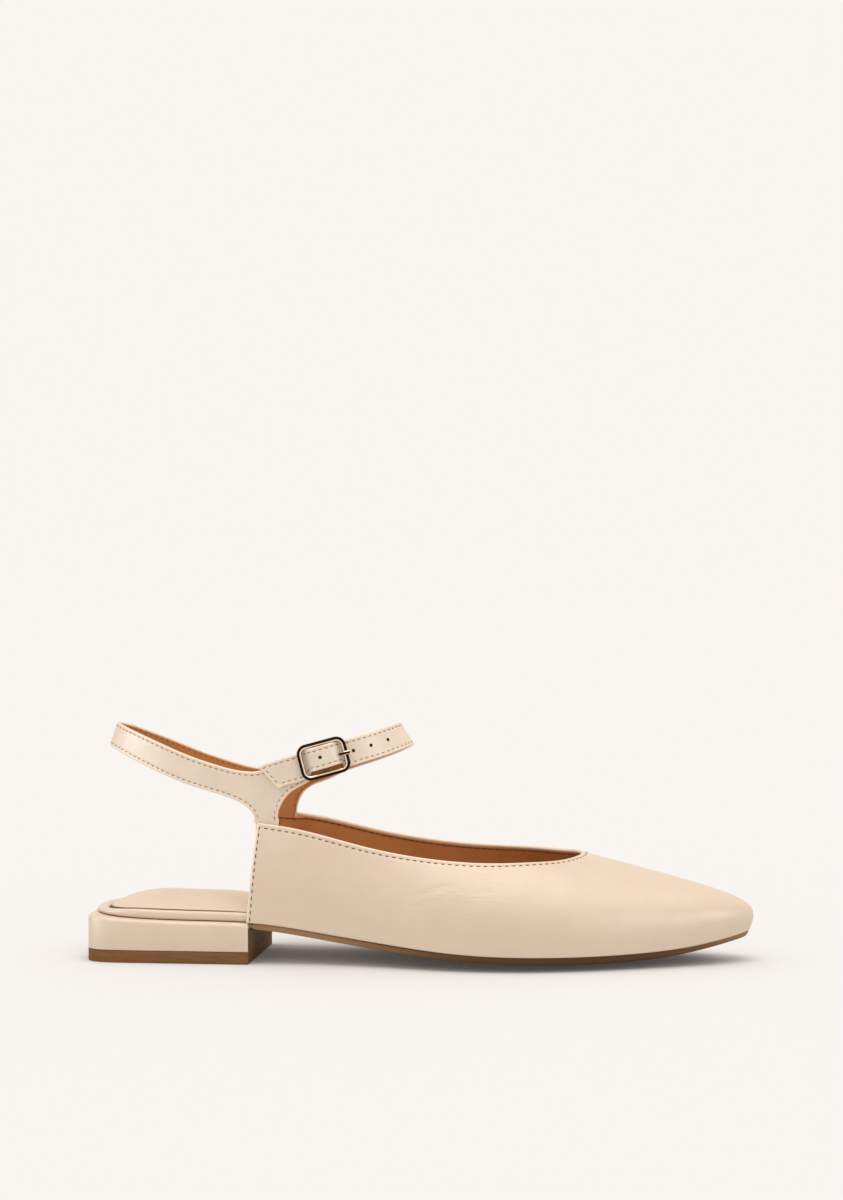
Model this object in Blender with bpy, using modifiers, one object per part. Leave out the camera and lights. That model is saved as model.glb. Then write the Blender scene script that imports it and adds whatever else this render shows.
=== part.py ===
"""A pointed slingback flat for the right foot, with a low block heel and a buckled ankle strap.

Metres. +X runs to the toe, -Y is the outer side of the foot, +Z is up, and the floor is z = 0. The tables
measure from the middle of the heel; FRAME_SHIFT then puts the origin under the middle of the whole shoe.
"""

import math
from collections import namedtuple

import bmesh
import bpy
import numpy as np
from mathutils import Matrix, Vector

# Driving sizes
FRAME_SHIFT = (-0.00007, 0.00057, 0.0)
GAP = 0.0003
LAYER_GAP = 0.0005
WALL = 0.0018
STRAP_THICKNESS = 0.0016
BREAST_X = -0.0640
HEEL_BACK_X = -0.1290
HEEL_CURVE_X = -0.0985
HEEL_OUTER = 0.0279
HEEL_INNER = 0.0274
HEEL_SQUARENESS = 6.0
SEAT_BACK_X = -0.1297
SEAT_OUTER_SQUARENESS = 3.0
SEAT_INNER_SQUARENESS = 2.2
HEEL_EDGE = 0.0010
LIFT_HEIGHT = 0.0047
LIFT_EDGE = 0.0005
SOLE_INSET = 0.0008
SOLE_THICKNESS = 0.0021
SOLE_TOE_THICKNESS = 0.0013
SOLE_TAPER_X = 0.0600
RIM_INSET = 0.0022
RIM_WIDTH = 0.0030
RIM_BACK_WIDTH = 0.0046
RIM_TURN_X = -0.1050
RIM_HEIGHT = 0.0034
RIM_BACK_HEIGHT = 0.0016
RIM_END_X = -0.0575
INSOLE_THICKNESS = 0.0022
SEAT_PAD_THICKNESS = 0.0024
SEAT_PAD_CROWN = 0.0058
SEAT_PAD_BACK_RISE = 0.0155
SEAT_PAD_START_X = -0.0800
SEAT_PAD_END_X = -0.0300
TAB_COLLAR_Z = 0.0540
TAB_FLARE = 0.15

# Buckle sizes, along the strap, across it and out from the arm's outer face
BUCKLE_X = -0.03545
BUCKLE_UP = 0.00065
BUCKLE_TURN_DEG = -1.7
FRAME_HALF_LENGTH = 0.00870
FRAME_HALF_WIDTH = 0.00610
FRAME_CORNER = 0.0028
FRAME_RADIUS = 0.00095
BAR_RADIUS = 0.0007
BAR_OUT = 0.00075
BAR_HALF_WIDTH = 0.0048
SLEEVE_RADIUS = 0.00175
SLEEVE_HALF_WIDTH = 0.0040
PRONG_RADIUS = 0.00055
PRONG_EYE_RADIUS = 0.00155
PRONG_SLOT_HALF = 0.0011
PRONG_HOLE_ALONG = 0.0060
PRONG_HOLE_RADIUS = 0.00125
STRAP_LIFT = 0.0029
STRAP_LIFT_HALF = 0.0080
STRAP_ARCH = 0.0022
STRAP_ARCH_SHARE = 0.45

# Mesh fineness
UPPER_STATIONS = 72
UPPER_ROWS = 10
TOE_CROWDING = 1.5
SOLE_STATIONS = 36
SOLE_ACROSS = 10
STRAP_STEPS = 4
ANKLE_STEPS = 6

# The last, one row for each section of the upper: where the feather edge and the collar are, and the
# shoulder that the wall turns over, measured forward, out and up from the feather edge.
Section = namedtuple(
    "Section",
    "feather_x feather_y collar_x collar_y collar_z shoulder_on shoulder_out shoulder_up fullness",
)
OUTER_SECTIONS = [
    Section(-0.0647, -0.0279, -0.0608, -0.0248, 0.0543, 0.0021, 0.0004, 0.0230, 0.60),
    Section(-0.0450, -0.0275, -0.0445, -0.0256, 0.0519, 0.0006, 0.0010, 0.0225, 0.60),
    Section(-0.0200, -0.0299, -0.0220, -0.0280, 0.0466, 0.0000, 0.0016, 0.0215, 0.60),
    Section(0.0050, -0.0360, 0.0000, -0.0298, 0.0426, 0.0000, 0.0018, 0.0205, 0.61),
    Section(0.0280, -0.0388, 0.0190, -0.0298, 0.0407, 0.0000, 0.0020, 0.0195, 0.62),
    Section(0.0500, -0.0366, 0.0340, -0.0280, 0.0403, 0.0000, 0.0022, 0.0190, 0.64),
    Section(0.0700, -0.0308, 0.0450, -0.0242, 0.0404, 0.0000, 0.0024, 0.0182, 0.66),
    Section(0.0880, -0.0232, 0.0530, -0.0188, 0.0404, 0.0000, 0.0027, 0.0172, 0.69),
    Section(0.1045, -0.0152, 0.0586, -0.0125, 0.0408, 0.0000, 0.0031, 0.0160, 0.72),
    Section(0.1182, -0.0074, 0.0616, -0.0065, 0.0413, 0.0000, 0.0036, 0.0142, 0.74),
    Section(0.1248, -0.0017, 0.0625, -0.0026, 0.0415, 0.0000, 0.0040, 0.0126, 0.75),
]
TOE_SECTION = Section(0.1276, 0.0044, 0.0628, 0.0010, 0.0417, 0.0000, 0.0043, 0.0120, 0.75)
INNER_SECTIONS = [
    Section(0.1255, 0.0097, 0.0626, 0.0045, 0.0416, 0.0000, 0.0042, 0.0125, 0.75),
    Section(0.1194, 0.0141, 0.0613, 0.0084, 0.0416, 0.0000, 0.0038, 0.0141, 0.74),
    Section(0.1073, 0.0198, 0.0584, 0.0141, 0.0414, 0.0000, 0.0032, 0.0160, 0.72),
    Section(0.0910, 0.0264, 0.0528, 0.0198, 0.0412, 0.0000, 0.0028, 0.0172, 0.69),
    Section(0.0720, 0.0332, 0.0448, 0.0248, 0.0413, 0.0000, 0.0025, 0.0184, 0.66),
    Section(0.0520, 0.0372, 0.0335, 0.0283, 0.0415, 0.0000, 0.0022, 0.0194, 0.64),
    Section(0.0300, 0.0368, 0.0185, 0.0295, 0.0420, 0.0000, 0.0020, 0.0200, 0.62),
    Section(0.0060, 0.0322, 0.0000, 0.0291, 0.0438, 0.0000, 0.0022, 0.0210, 0.61),
    Section(-0.0200, 0.0271, -0.0220, 0.0272, 0.0477, 0.0000, 0.0022, 0.0220, 0.60),
    Section(-0.0450, 0.0260, -0.0445, 0.0254, 0.0528, 0.0006, 0.0014, 0.0230, 0.60),
    Section(-0.0647, 0.0274, -0.0608, 0.0248, 0.0547, 0.0021, 0.0005, 0.0232, 0.60),
]
SECTIONS = OUTER_SECTIONS + [TOE_SECTION] + INNER_SECTIONS

# The seat is the top of heel and sole: its height at the edge, and how far its middle lies lower.
Seat = namedtuple("Seat", "x edge camber")
SEAT_ROWS = [
    Seat(-0.1300, 0.0180, 0.0000),
    Seat(-0.1180, 0.0172, 0.0000),
    Seat(-0.1050, 0.0166, 0.0000),
    Seat(-0.0900, 0.0162, 0.0000),
    Seat(-0.0750, 0.0160, 0.0000),
    Seat(-0.0620, 0.0155, 0.0000),
    Seat(-0.0480, 0.0139, 0.0005),
    Seat(-0.0300, 0.0112, 0.0014),
    Seat(-0.0080, 0.0085, 0.0024),
    Seat(0.0150, 0.0064, 0.0031),
    Seat(0.0450, 0.0053, 0.0036),
    Seat(0.0700, 0.0053, 0.0034),
    Seat(0.0880, 0.0058, 0.0029),
    Seat(0.1040, 0.0071, 0.0018),
    Seat(0.1160, 0.0091, 0.0009),
    Seat(0.1280, 0.0115, 0.0003),
]

# The heel strap from the arms' ends past the tabs to the middle of the back: distance from the middle
# line, the heights of the lower and upper edges, and how far the upper edge leans forward. The inner
# side of the foot has edges of its own, a little lower.
Sling = namedtuple("Sling", "x y bottom top inner_bottom inner_top lean")
SLING_ROWS = [
    Sling(-0.0346, 0.0205, 0.0738, 0.0830, 0.0702, 0.0803, 0.0),
    Sling(-0.0385, 0.0210, 0.0720, 0.0820, 0.0682, 0.0792, 0.0),
    Sling(-0.0423, 0.0213, 0.0694, 0.0809, 0.0667, 0.0781, 0.0),
    Sling(-0.0455, 0.0215, 0.0676, 0.0799, 0.0655, 0.0772, 0.0),
    Sling(-0.0485, 0.0216, 0.0656, 0.0787, 0.0637, 0.0760, 0.0),
    Sling(-0.0508, 0.02165, 0.0630, 0.0778, 0.0612, 0.0751, 0.0),
    Sling(-0.0524, 0.02165, 0.0600, 0.0770, 0.0570, 0.0743, 0.0),
    Sling(-0.0533, 0.02165, 0.0566, 0.0765, 0.0510, 0.0738, 0.0),
    Sling(-0.0536, 0.02165, 0.0445, 0.0762, 0.0445, 0.0736, 0.0),
    Sling(-0.0576, 0.02165, 0.0440, 0.0747, 0.0440, 0.0726, 0.0),
    Sling(-0.0616, 0.02165, 0.0445, 0.0738, 0.0445, 0.0719, 0.0),
    Sling(-0.0621, 0.02165, 0.0545, 0.0737, 0.0545, 0.0718, 0.0),
    Sling(-0.0634, 0.02165, 0.0577, 0.0736, 0.0577, 0.0717, 0.0),
    Sling(-0.0655, 0.0216, 0.0600, 0.0737, 0.0600, 0.0718, 0.0),
    Sling(-0.0691, 0.0214, 0.0621, 0.0741, 0.0619, 0.0722, 0.0),
    Sling(-0.0751, 0.0210, 0.0643, 0.0754, 0.0637, 0.0735, 0.0),
    Sling(-0.0834, 0.0201, 0.0666, 0.0778, 0.0658, 0.0761, 0.0),
    Sling(-0.0918, 0.0187, 0.0692, 0.0806, 0.0685, 0.0790, 0.0004),
    Sling(-0.1002, 0.0164, 0.0725, 0.0838, 0.0720, 0.0825, 0.0009),
    Sling(-0.1090, 0.0126, 0.0763, 0.0870, 0.0760, 0.0862, 0.0017),
    Sling(-0.1172, 0.0072, 0.0799, 0.0898, 0.0798, 0.0896, 0.0026),
    Sling(-0.1222, 0.0000, 0.0820, 0.0913, 0.0820, 0.0913, 0.0032),
]

# The ankle strap's inner face, from the middle of the front to the strap's end on the tab, and how much
# lower it is on the inner side of the foot.
Band = namedtuple("Band", "x y z inner_drop tilt_deg width")
ANKLE_ROWS = [
    Band(-0.0081, 0.0000, 0.0860, 0.0000, 33.0, 0.0105),
    Band(-0.0094, 0.0048, 0.0857, 0.0004, 32.0, 0.0105),
    Band(-0.0126, 0.0092, 0.0848, 0.0010, 28.0, 0.0105),
    Band(-0.0169, 0.0132, 0.0836, 0.0015, 23.0, 0.0105),
    Band(-0.0228, 0.0168, 0.0820, 0.0020, 18.5, 0.0105),
    Band(-0.0300, 0.0196, 0.0799, 0.0024, 16.5, 0.0105),
    Band(-0.0380, 0.0209, 0.0775, 0.0027, 16.5, 0.0105),
    Band(-0.0460, 0.0215, 0.0751, 0.0027, 16.5, 0.0105),
    Band(-0.0520, 0.02165, 0.0733, 0.0027, 18.0, 0.0105),
    Band(-0.0568, 0.02165, 0.0714, 0.0027, 43.0, 0.0116),
]

# Colours, linear
BEIGE = (0.72, 0.56, 0.40)
SOLE_BROWN = (0.18, 0.10, 0.05)
PALE_GOLD = (0.80, 0.62, 0.42)

PARTS = "slingback_flat"
CUTTERS = "cutters"


def clear_scene():
    for obj in list(bpy.data.objects):
        bpy.data.objects.remove(obj)
    for name in (PARTS, CUTTERS):
        bpy.context.scene.collection.children.link(bpy.data.collections.new(name))


def make_material(name, colour, roughness, metallic=0.0):
    material = bpy.data.materials.new(name)
    material.use_nodes = True
    shader = material.node_tree.nodes["Principled BSDF"]
    shader.inputs["Base Color"].default_value = (*colour, 1.0)
    shader.inputs["Roughness"].default_value = roughness
    shader.inputs["Metallic"].default_value = metallic
    return material


# Curves through tables
def column(rows, name):
    return np.array([getattr(row, name) for row in rows])


def spline(knots, values):
    """A natural cubic spline through the values at the knots, as a function."""
    knots, values = np.asarray(knots, float), np.asarray(values, float)
    steps, count = np.diff(knots), len(knots)
    slopes = np.diff(values) / steps
    matrix, right = np.eye(count), np.zeros(count)
    for i in range(1, count - 1):
        matrix[i, i - 1 : i + 2] = steps[i - 1], 2 * (steps[i - 1] + steps[i]), steps[i]
        right[i] = 3 * (slopes[i] - slopes[i - 1])
    bends = np.linalg.solve(matrix, right)

    def at(x):
        i = np.clip(np.searchsorted(knots, x) - 1, 0, count - 2)
        d = x - knots[i]
        first = slopes[i] - steps[i] * (2 * bends[i] + bends[i + 1]) / 3
        third = (bends[i + 1] - bends[i]) / (3 * steps[i])
        return values[i] + d * (first + d * (bends[i] + d * third))

    return at


def through_rows(points, steps):
    """Points on a smooth curve through the rows of an array, with that many steps from row to row.

    Each column keeps between the values of the two rows, so that no strap folds back on itself.
    """
    gaps = np.diff(points, axis=0)
    before, after = gaps[:-1], gaps[1:]
    steepest = 2 * np.minimum(np.abs(before), np.abs(after))
    middle = np.clip((before + after) / 2, -steepest, steepest)
    slopes = np.vstack([gaps[0], np.where(before * after > 0, middle, 0.0), gaps[-1]])
    made = []
    for one, gap, leave, arrive in zip(points, gaps, slopes, slopes[1:]):
        for t in np.arange(steps) / steps:
            rise = t * t * (3 - 2 * t)
            made.append(one + gap * rise + leave * t * (1 - t) ** 2 - arrive * t * t * (1 - t))
    return np.array(made + [points[-1]])


def smooth_step(x, start, end):
    share = np.clip((x - start) / (end - start), 0, 1)
    return share * share * (3 - 2 * share)


# The last
chords = np.hypot(np.diff(column(SECTIONS, "feather_x")), np.diff(column(SECTIONS, "feather_y")))
SECTION_PLACES = np.concatenate([[0], np.cumsum(chords)])
TOE_PLACE = SECTION_PLACES[len(OUTER_SECTIONS)]
END_PLACE = SECTION_PLACES[-1]
LAST = {name: spline(SECTION_PLACES, column(SECTIONS, name)) for name in Section._fields}
seat_edge = spline(column(SEAT_ROWS, "x"), column(SEAT_ROWS, "edge"))
seat_camber = spline(column(SEAT_ROWS, "x"), column(SEAT_ROWS, "camber"))


def outline_normals(points):
    """Unit normals of a line in plan, to the right of its direction."""
    along = np.gradient(points, axis=0)
    along /= np.linalg.norm(along, axis=1)[:, None]
    return np.column_stack([along[:, 1], -along[:, 0]])


def upper_points(stations, rows):
    """The outer face of the upper as a grid of points, from the outer back edge round the toe."""
    q = np.linspace(-1, 1, stations + 1)
    reach = np.where(q < 0, TOE_PLACE, END_PLACE - TOE_PLACE)
    place = TOE_PLACE + np.sign(q) * np.abs(q) ** TOE_CROWDING * reach
    at = {name: LAST[name](place) for name in Section._fields}
    plan = np.column_stack([at["feather_x"], at["feather_y"]])
    out = outline_normals(plan)
    feather = np.column_stack([plan, seat_edge(plan[:, 0]) + GAP])
    collar = np.column_stack([at["collar_x"], at["collar_y"], at["collar_z"]])
    shoulder = feather + np.column_stack([out * at["shoulder_out"][:, None], at["shoulder_up"]])
    shoulder[:, 0] += at["shoulder_on"]
    full = at["fullness"][:, None]
    controls = [feather, feather + (shoulder - feather) * full, shoulder,
                collar + (shoulder - collar) * full, collar]
    t = np.linspace(0, 1, rows + 1)
    weights = [math.comb(4, k) * t**k * (1 - t) ** (4 - k) for k in range(5)]
    return sum(c[:, None, :] * w[None, :, None] for c, w in zip(controls, weights))


def side_outline(side, back_x=HEEL_BACK_X, squareness=HEEL_SQUARENESS):
    """Half of the shoe's outline in plan, from the middle of the heel's back to the tip of the toe."""
    half = HEEL_OUTER if side < 0 else HEEL_INNER
    turn = np.linspace(math.pi / 2, 0, 24)
    power = 2 / squareness
    back = np.column_stack([
        HEEL_CURVE_X - (HEEL_CURVE_X - back_x) * np.sin(turn) ** power,
        side * half * np.cos(turn) ** power,
    ])
    end = 0.0 if side < 0 else END_PLACE
    place = np.linspace(end, TOE_PLACE, 90)
    front = np.column_stack([LAST["feather_x"](place), LAST["feather_y"](place)])
    return np.vstack([back, front])


def at_lengths(points, shares):
    """Points at these shares of a line's length."""
    lengths = np.concatenate([[0], np.cumsum(np.linalg.norm(np.diff(points, axis=0), axis=1))])
    return np.column_stack([np.interp(shares * lengths[-1], lengths, c) for c in points.T])


def inset_outline(line, side, inset, shares):
    """Points of one side's outline, moved in by inset, which may be a function of x."""
    line = at_lengths(line, shares)
    inward = side * outline_normals(line)
    distance = inset(line[:, 0]) if callable(inset) else np.full(len(line), inset)
    return line + inward * distance[:, None]


def behind(line, x):
    """The part of an outline that is behind x, ending just there."""
    kept = line[line[:, 0] < x]
    return np.vstack([kept, [x, np.interp(x, line[:, 0], line[:, 1])]])


def ahead(line, x):
    """The part of an outline that is in front of x, starting just there."""
    kept = line[line[:, 0] > x]
    return np.vstack([[x, np.interp(x, line[:, 0], line[:, 1])], kept])


SIDES = (-1, 1)
HEEL_LINES = {side: side_outline(side) for side in SIDES}
SEAT_LINES = {
    -1: side_outline(-1, SEAT_BACK_X, SEAT_OUTER_SQUARENESS),
    1: side_outline(1, SEAT_BACK_X, SEAT_INNER_SQUARENESS),
}


def seat_height(x, y):
    """The seat's height at a point in plan."""
    low, high = (np.interp(x, *HEEL_LINES[side].T) for side in SIDES)
    middle, half = (low + high) / 2, np.maximum((high - low) / 2, WALL)
    across = np.clip((y - middle) / half, -1, 1)
    return seat_edge(x) - seat_camber(x) * (1 - across**2)


# Meshes
def add_object(name, mesh, material, collection=PARTS):
    obj = bpy.data.objects.new(name, mesh)
    obj.location = FRAME_SHIFT
    bpy.data.collections[collection].objects.link(obj)
    if material:
        mesh.materials.append(material)
        mesh.shade_smooth()
        mesh.set_sharp_from_angle(angle=math.radians(35))
    else:
        obj.hide_render = True
        obj.display_type = "WIRE"
    return obj


def to_mesh(name, bm):
    mesh = bpy.data.meshes.new(name)
    bm.to_mesh(mesh)
    bm.free()
    return mesh


def loft(name, rings, strip_top=False):
    """A closed mesh through rings of points, capped on the first and the last ring.

    With strip_top the last cap is a strip of faces from one half of its ring to the other half.
    """
    bm = bmesh.new()
    loops = [[bm.verts.new(point) for point in ring] for ring in rings]
    for one, two in zip(loops, loops[1:]):
        for i in range(len(one)):
            bm.faces.new((one[i - 1], one[i], two[i], two[i - 1]))
    bm.faces.new(loops[0])
    if strip_top:
        last, middle = loops[-1], len(loops[-1]) // 2
        for i in range(middle - 1):
            bm.faces.new((last[i], last[i + 1], last[-2 - i], last[-1 - i]))
        bm.faces.new(last[middle - 1 : middle + 2])
    else:
        bm.faces.new(loops[-1])
    bmesh.ops.recalc_face_normals(bm, faces=bm.faces)
    return to_mesh(name, bm)


def tube(name, points, radius, cyclic=False):
    """A round wire along the points, as a curve."""
    curve = bpy.data.curves.new(name, "CURVE")
    curve.dimensions = "3D"
    curve.bevel_depth = radius
    curve.bevel_resolution = 2
    curve.use_fill_caps = not cyclic
    line = curve.splines.new("POLY")
    line.points.add(len(points) - 1)
    for place, point in zip(line.points, points):
        place.co = (*point, 1.0)
    line.use_cyclic_u = cyclic
    return curve


def curve_mesh(name, curve):
    """The closed mesh of a curve."""
    helper = bpy.data.objects.new(name + "_curve", curve)
    bpy.context.scene.collection.objects.link(helper)
    graph = bpy.context.evaluated_depsgraph_get()
    mesh = bpy.data.meshes.new_from_object(helper.evaluated_get(graph))
    bpy.data.objects.remove(helper)
    bm = bmesh.new()
    bm.from_mesh(mesh)
    bmesh.ops.remove_doubles(bm, verts=bm.verts, dist=1e-6)
    bmesh.ops.recalc_face_normals(bm, faces=bm.faces)
    return to_mesh(name, bm)


def combine(obj, other, operation):
    modifier = obj.modifiers.new(operation.lower() + "_" + other.name, "BOOLEAN")
    modifier.operation = operation
    modifier.object = other


def cylinder(name, radius, length, matrix, sides):
    bm = bmesh.new()
    bmesh.ops.create_cone(
        bm, cap_ends=True, segments=sides, radius1=radius, radius2=radius, depth=length, matrix=matrix
    )
    return add_object(name, to_mesh(name, bm), None, CUTTERS)


def box(name, size, matrix):
    bm = bmesh.new()
    bmesh.ops.create_cube(bm, size=1.0, matrix=matrix @ Matrix.Diagonal((*size, 1.0)))
    return add_object(name, to_mesh(name, bm), None, CUTTERS)


# Upper
def make_upper(leather):
    points = upper_points(UPPER_STATIONS, UPPER_ROWS)
    stations, rows, _ = points.shape
    bm = bmesh.new()
    bmesh.ops.create_grid(bm, x_segments=rows - 1, y_segments=stations - 1, size=1.0)
    bm.verts.ensure_lookup_table()
    for vert, point in zip(bm.verts, points.reshape(-1, 3)):
        vert.co = point
    bmesh.ops.reverse_faces(bm, faces=bm.faces)
    shell = add_object("upper", to_mesh("upper", bm), leather)
    solidify = shell.modifiers.new("wall", "SOLIDIFY")
    solidify.thickness = WALL
    solidify.offset = -1.0
    solidify.use_even_offset = True


# Sole, heel and insole
def slab_rings(outer, inner, across, bottom, top):
    """Rings of a slab between two outlines: its top from side to side, then its bottom back again."""
    shares = np.linspace(0, 1, across + 1)
    rings = []
    for a, b in zip(outer, inner):
        x = a[0] + (b[0] - a[0]) * shares
        y = a[1] + (b[1] - a[1]) * shares
        upper = np.column_stack([x, y, top(x, y)])
        lower = np.column_stack([x, y, bottom(x, y)])
        rings.append(np.vstack([upper, lower[::-1]]))
    return rings


def sole_thickness(x):
    """The sole gets thinner from the ball of the foot to the toe."""
    taper = smooth_step(x, SOLE_TAPER_X, TOE_SECTION.feather_x)
    return SOLE_THICKNESS + (SOLE_TOE_THICKNESS - SOLE_THICKNESS) * taper


def make_outsole(rubber):
    shares = np.sin(np.linspace(0, math.pi / 2, SOLE_STATIONS + 1)) * 0.992
    lines = {side: ahead(HEEL_LINES[side], BREAST_X + GAP) for side in SIDES}
    outer, inner = (inset_outline(lines[side], side, SOLE_INSET, shares) for side in SIDES)

    def bottom(x, y):
        return np.maximum(seat_height(x, y) - sole_thickness(x), 0.0)

    rings = slab_rings(outer, inner, SOLE_ACROSS, bottom, seat_height)
    add_object("outsole", loft("outsole", rings), rubber)


def heel_ring(inset, height):
    """The heel's outline from the breast round the back, at a height that may depend on x."""
    shares = np.linspace(0, 1, 400)
    sides = [inset_outline(HEEL_LINES[side], side, inset, shares) for side in SIDES]
    outer, inner = (at_lengths(behind(line, BREAST_X), np.linspace(0, 1, 22)) for line in sides)
    plan = np.vstack([outer[::-1], inner[1:]])
    z = height(plan[:, 0]) if callable(height) else np.full(len(plan), height)
    return np.column_stack([plan, z])


def make_heel(cover, rubber):
    block = [
        heel_ring(0.0, LIFT_HEIGHT + GAP),
        heel_ring(0.0, lambda x: seat_edge(x) - HEEL_EDGE),
        heel_ring(HEEL_EDGE, seat_edge),
    ]
    add_object("heel_block", loft("heel_block", block, strip_top=True), cover)
    lift = [heel_ring(LIFT_EDGE, 0.0), heel_ring(0.0, LIFT_EDGE), heel_ring(0.0, LIFT_HEIGHT)]
    add_object("top_lift", loft("top_lift", lift), rubber)


def rim_width(x):
    """The rolled rim is wider round the back of the heel than along its sides."""
    return RIM_BACK_WIDTH + (RIM_WIDTH - RIM_BACK_WIDTH) * smooth_step(x, SEAT_BACK_X, RIM_TURN_X)


def rim_height(x):
    """The rolled rim is lower round the back of the heel than along its sides."""
    return RIM_BACK_HEIGHT + (RIM_HEIGHT - RIM_BACK_HEIGHT) * smooth_step(x, SEAT_BACK_X, RIM_TURN_X)


def rim_inset(x):
    return RIM_INSET + rim_width(x) / 2


def make_insole_rim(leather):
    shares = np.linspace(0, 1, 400)
    sides = [inset_outline(SEAT_LINES[side], side, rim_inset, shares) for side in SIDES]
    outer, inner = (at_lengths(behind(line, RIM_END_X), np.linspace(0, 1, 20)) for line in sides)
    path = np.vstack([outer[::-1], inner[1:]])
    normals = outline_normals(path)
    turn = np.linspace(0, 2 * math.pi, 10, endpoint=False)
    side_share = np.sign(np.cos(turn)) * np.abs(np.cos(turn)) ** 0.7 / 2
    up_share = (np.sign(np.sin(turn)) * np.abs(np.sin(turn)) ** 0.7 + 1) / 2
    rings = []
    for point, normal in zip(path, normals):
        plan = point + side_share[:, None] * rim_width(point[0]) * normal
        rings.append(np.column_stack([plan, seat_edge(point[0]) + GAP + up_share * rim_height(point[0])]))
    add_object("insole_rim", loft("insole_rim", rings), leather)


def insole_inset(x):
    heel, fore = RIM_INSET + rim_width(x) + GAP, WALL + GAP + GAP
    return heel + (fore - heel) * smooth_step(x, RIM_END_X + 2 * RIM_WIDTH, RIM_END_X + 6 * RIM_WIDTH)


def make_insole(leather):
    shares = 0.5 - 0.5 * np.cos(np.linspace(0.33, math.pi - 0.17, SOLE_STATIONS + 1))
    outer, inner = (inset_outline(SEAT_LINES[side], side, insole_inset, shares) for side in SIDES)

    def bottom(x, y):
        return seat_height(x, y) + GAP

    def top(x, y):
        half = max(abs(y[0] - y[-1]) / 2, WALL)
        across = (y - (y[0] + y[-1]) / 2) / half
        back = SEAT_BACK_X + RIM_INSET + RIM_BACK_WIDTH
        rise = smooth_step(x, back, back + SEAT_PAD_BACK_RISE)
        crown = SEAT_PAD_CROWN * (1 - np.abs(across) ** 3) * rise
        heel = 1 - smooth_step(x, SEAT_PAD_START_X, SEAT_PAD_END_X)
        pad = SEAT_PAD_THICKNESS + crown
        return bottom(x, y) + INSOLE_THICKNESS + (pad - INSOLE_THICKNESS) * heel

    rings = slab_rings(outer, inner, SOLE_ACROSS, bottom, top)
    add_object("insole", loft("insole", rings), leather)


# Straps
def ribbon_rings(bottom, top, out, inner, outer, levels):
    """Rings of a strap between two edges, from its inner to its outer face along out."""
    shares = np.asarray(levels)[:, None]
    rings = []
    for low, high, normal, near, far in zip(bottom, top, out, inner, outer):
        line = low + (high - low) * shares
        rings.append(np.vstack([line + normal * near, (line + normal * far)[::-1]]))
    return rings


def strap_normals(edge, width):
    """Unit normals of a strap, out of the loop that it makes."""
    out = np.cross(width, np.gradient(edge, axis=0))
    return out / np.linalg.norm(out, axis=1)[:, None]


def sling_edges():
    """The lower and upper edges of the heel strap, from the outer arm round the back to the inner arm."""
    outer = [(r.x, -r.y, r.bottom, r.top, r.lean) for r in SLING_ROWS]
    inner = [(r.x, r.y, r.inner_bottom, r.inner_top, r.lean) for r in SLING_ROWS]
    x, y, low, high, lean = through_rows(np.array(outer + inner[-2::-1]), STRAP_STEPS).T
    return np.column_stack([x - lean / 2, y, low]), np.column_stack([x + lean / 2, y, high])


def ankle_edges():
    """The lower and upper edges of the ankle strap, from its inner end round the front to its outer end."""
    inner = [(r.x, r.y, r.z - r.inner_drop, r.tilt_deg, r.width) for r in ANKLE_ROWS]
    outer = [(r.x, -r.y, r.z, r.tilt_deg, r.width) for r in ANKLE_ROWS]
    path = through_rows(np.array(inner[::-1] + outer[1:]), ANKLE_STEPS)
    tilt, half = np.radians(path[:, 3]), path[:, 4] / 2
    lean = np.column_stack([-half * np.sin(tilt), np.zeros(len(path)), half * np.cos(tilt)])
    return path[:, :3] - lean, path[:, :3] + lean


def buckle_matrix():
    """Where the buckle sits: X forward along the strap, Y up across it, Z out of the arm's outer face."""
    low, high = ankle_edges()
    middle = (low + high) / 2
    out = strap_normals(middle, high - low)
    place = max((i for i in range(len(middle)) if middle[i, 1] < 0 and middle[i, 0] > BUCKLE_X), default=0)
    share = (BUCKLE_X - middle[place, 0]) / (middle[place + 1, 0] - middle[place, 0])
    origin = middle[place] + share * (middle[place + 1] - middle[place])
    normal = Vector(out[place])
    forward = Vector(middle[place - 1] - middle[place + 2])
    forward = (forward - normal * forward.dot(normal)).normalized()
    across = normal.cross(forward)
    matrix = Matrix((forward, across, normal)).transposed().to_4x4()
    matrix.translation = Vector(origin) + normal * STRAP_THICKNESS / 2 + across * BUCKLE_UP
    return matrix @ Matrix.Rotation(math.radians(BUCKLE_TURN_DEG), 4, "Z")


def make_heel_strap(leather, buckle):
    low, high = sling_edges()
    levels = (0.0, 0.34, 0.67, 1.0)
    out = strap_normals(high, np.tile((0.0, 0.0, 1.0), (len(high), 1)))
    half = np.full(len(low), STRAP_THICKNESS / 2)
    rings = ribbon_rings(low, high, out, -half, half, levels)
    for ring in rings:
        below = np.maximum(TAB_COLLAR_Z - ring[:, 2], 0.0)
        ring[:, 1] += np.sign(ring[:, 1]) * below * TAB_FLARE
    strap = add_object("heel_strap", loft("heel_strap", rings), leather)
    along_bar = buckle @ Matrix.Translation((0, 0, BAR_OUT)) @ Matrix.Rotation(math.pi / 2, 4, "X")
    sleeve = cylinder("sleeve", SLEEVE_RADIUS, 2 * SLEEVE_HALF_WIDTH, along_bar, 20)
    bore = cylinder("bar_bore", BAR_RADIUS + GAP, 4 * SLEEVE_HALF_WIDTH, along_bar, 16)
    slot_size = (8 * PRONG_RADIUS + 2 * PRONG_EYE_RADIUS, 2 * PRONG_SLOT_HALF, 0.02)
    slot = box("prong_slot", slot_size, buckle)
    combine(strap, sleeve, "UNION")
    combine(strap, bore, "DIFFERENCE")
    combine(strap, slot, "DIFFERENCE")


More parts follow.
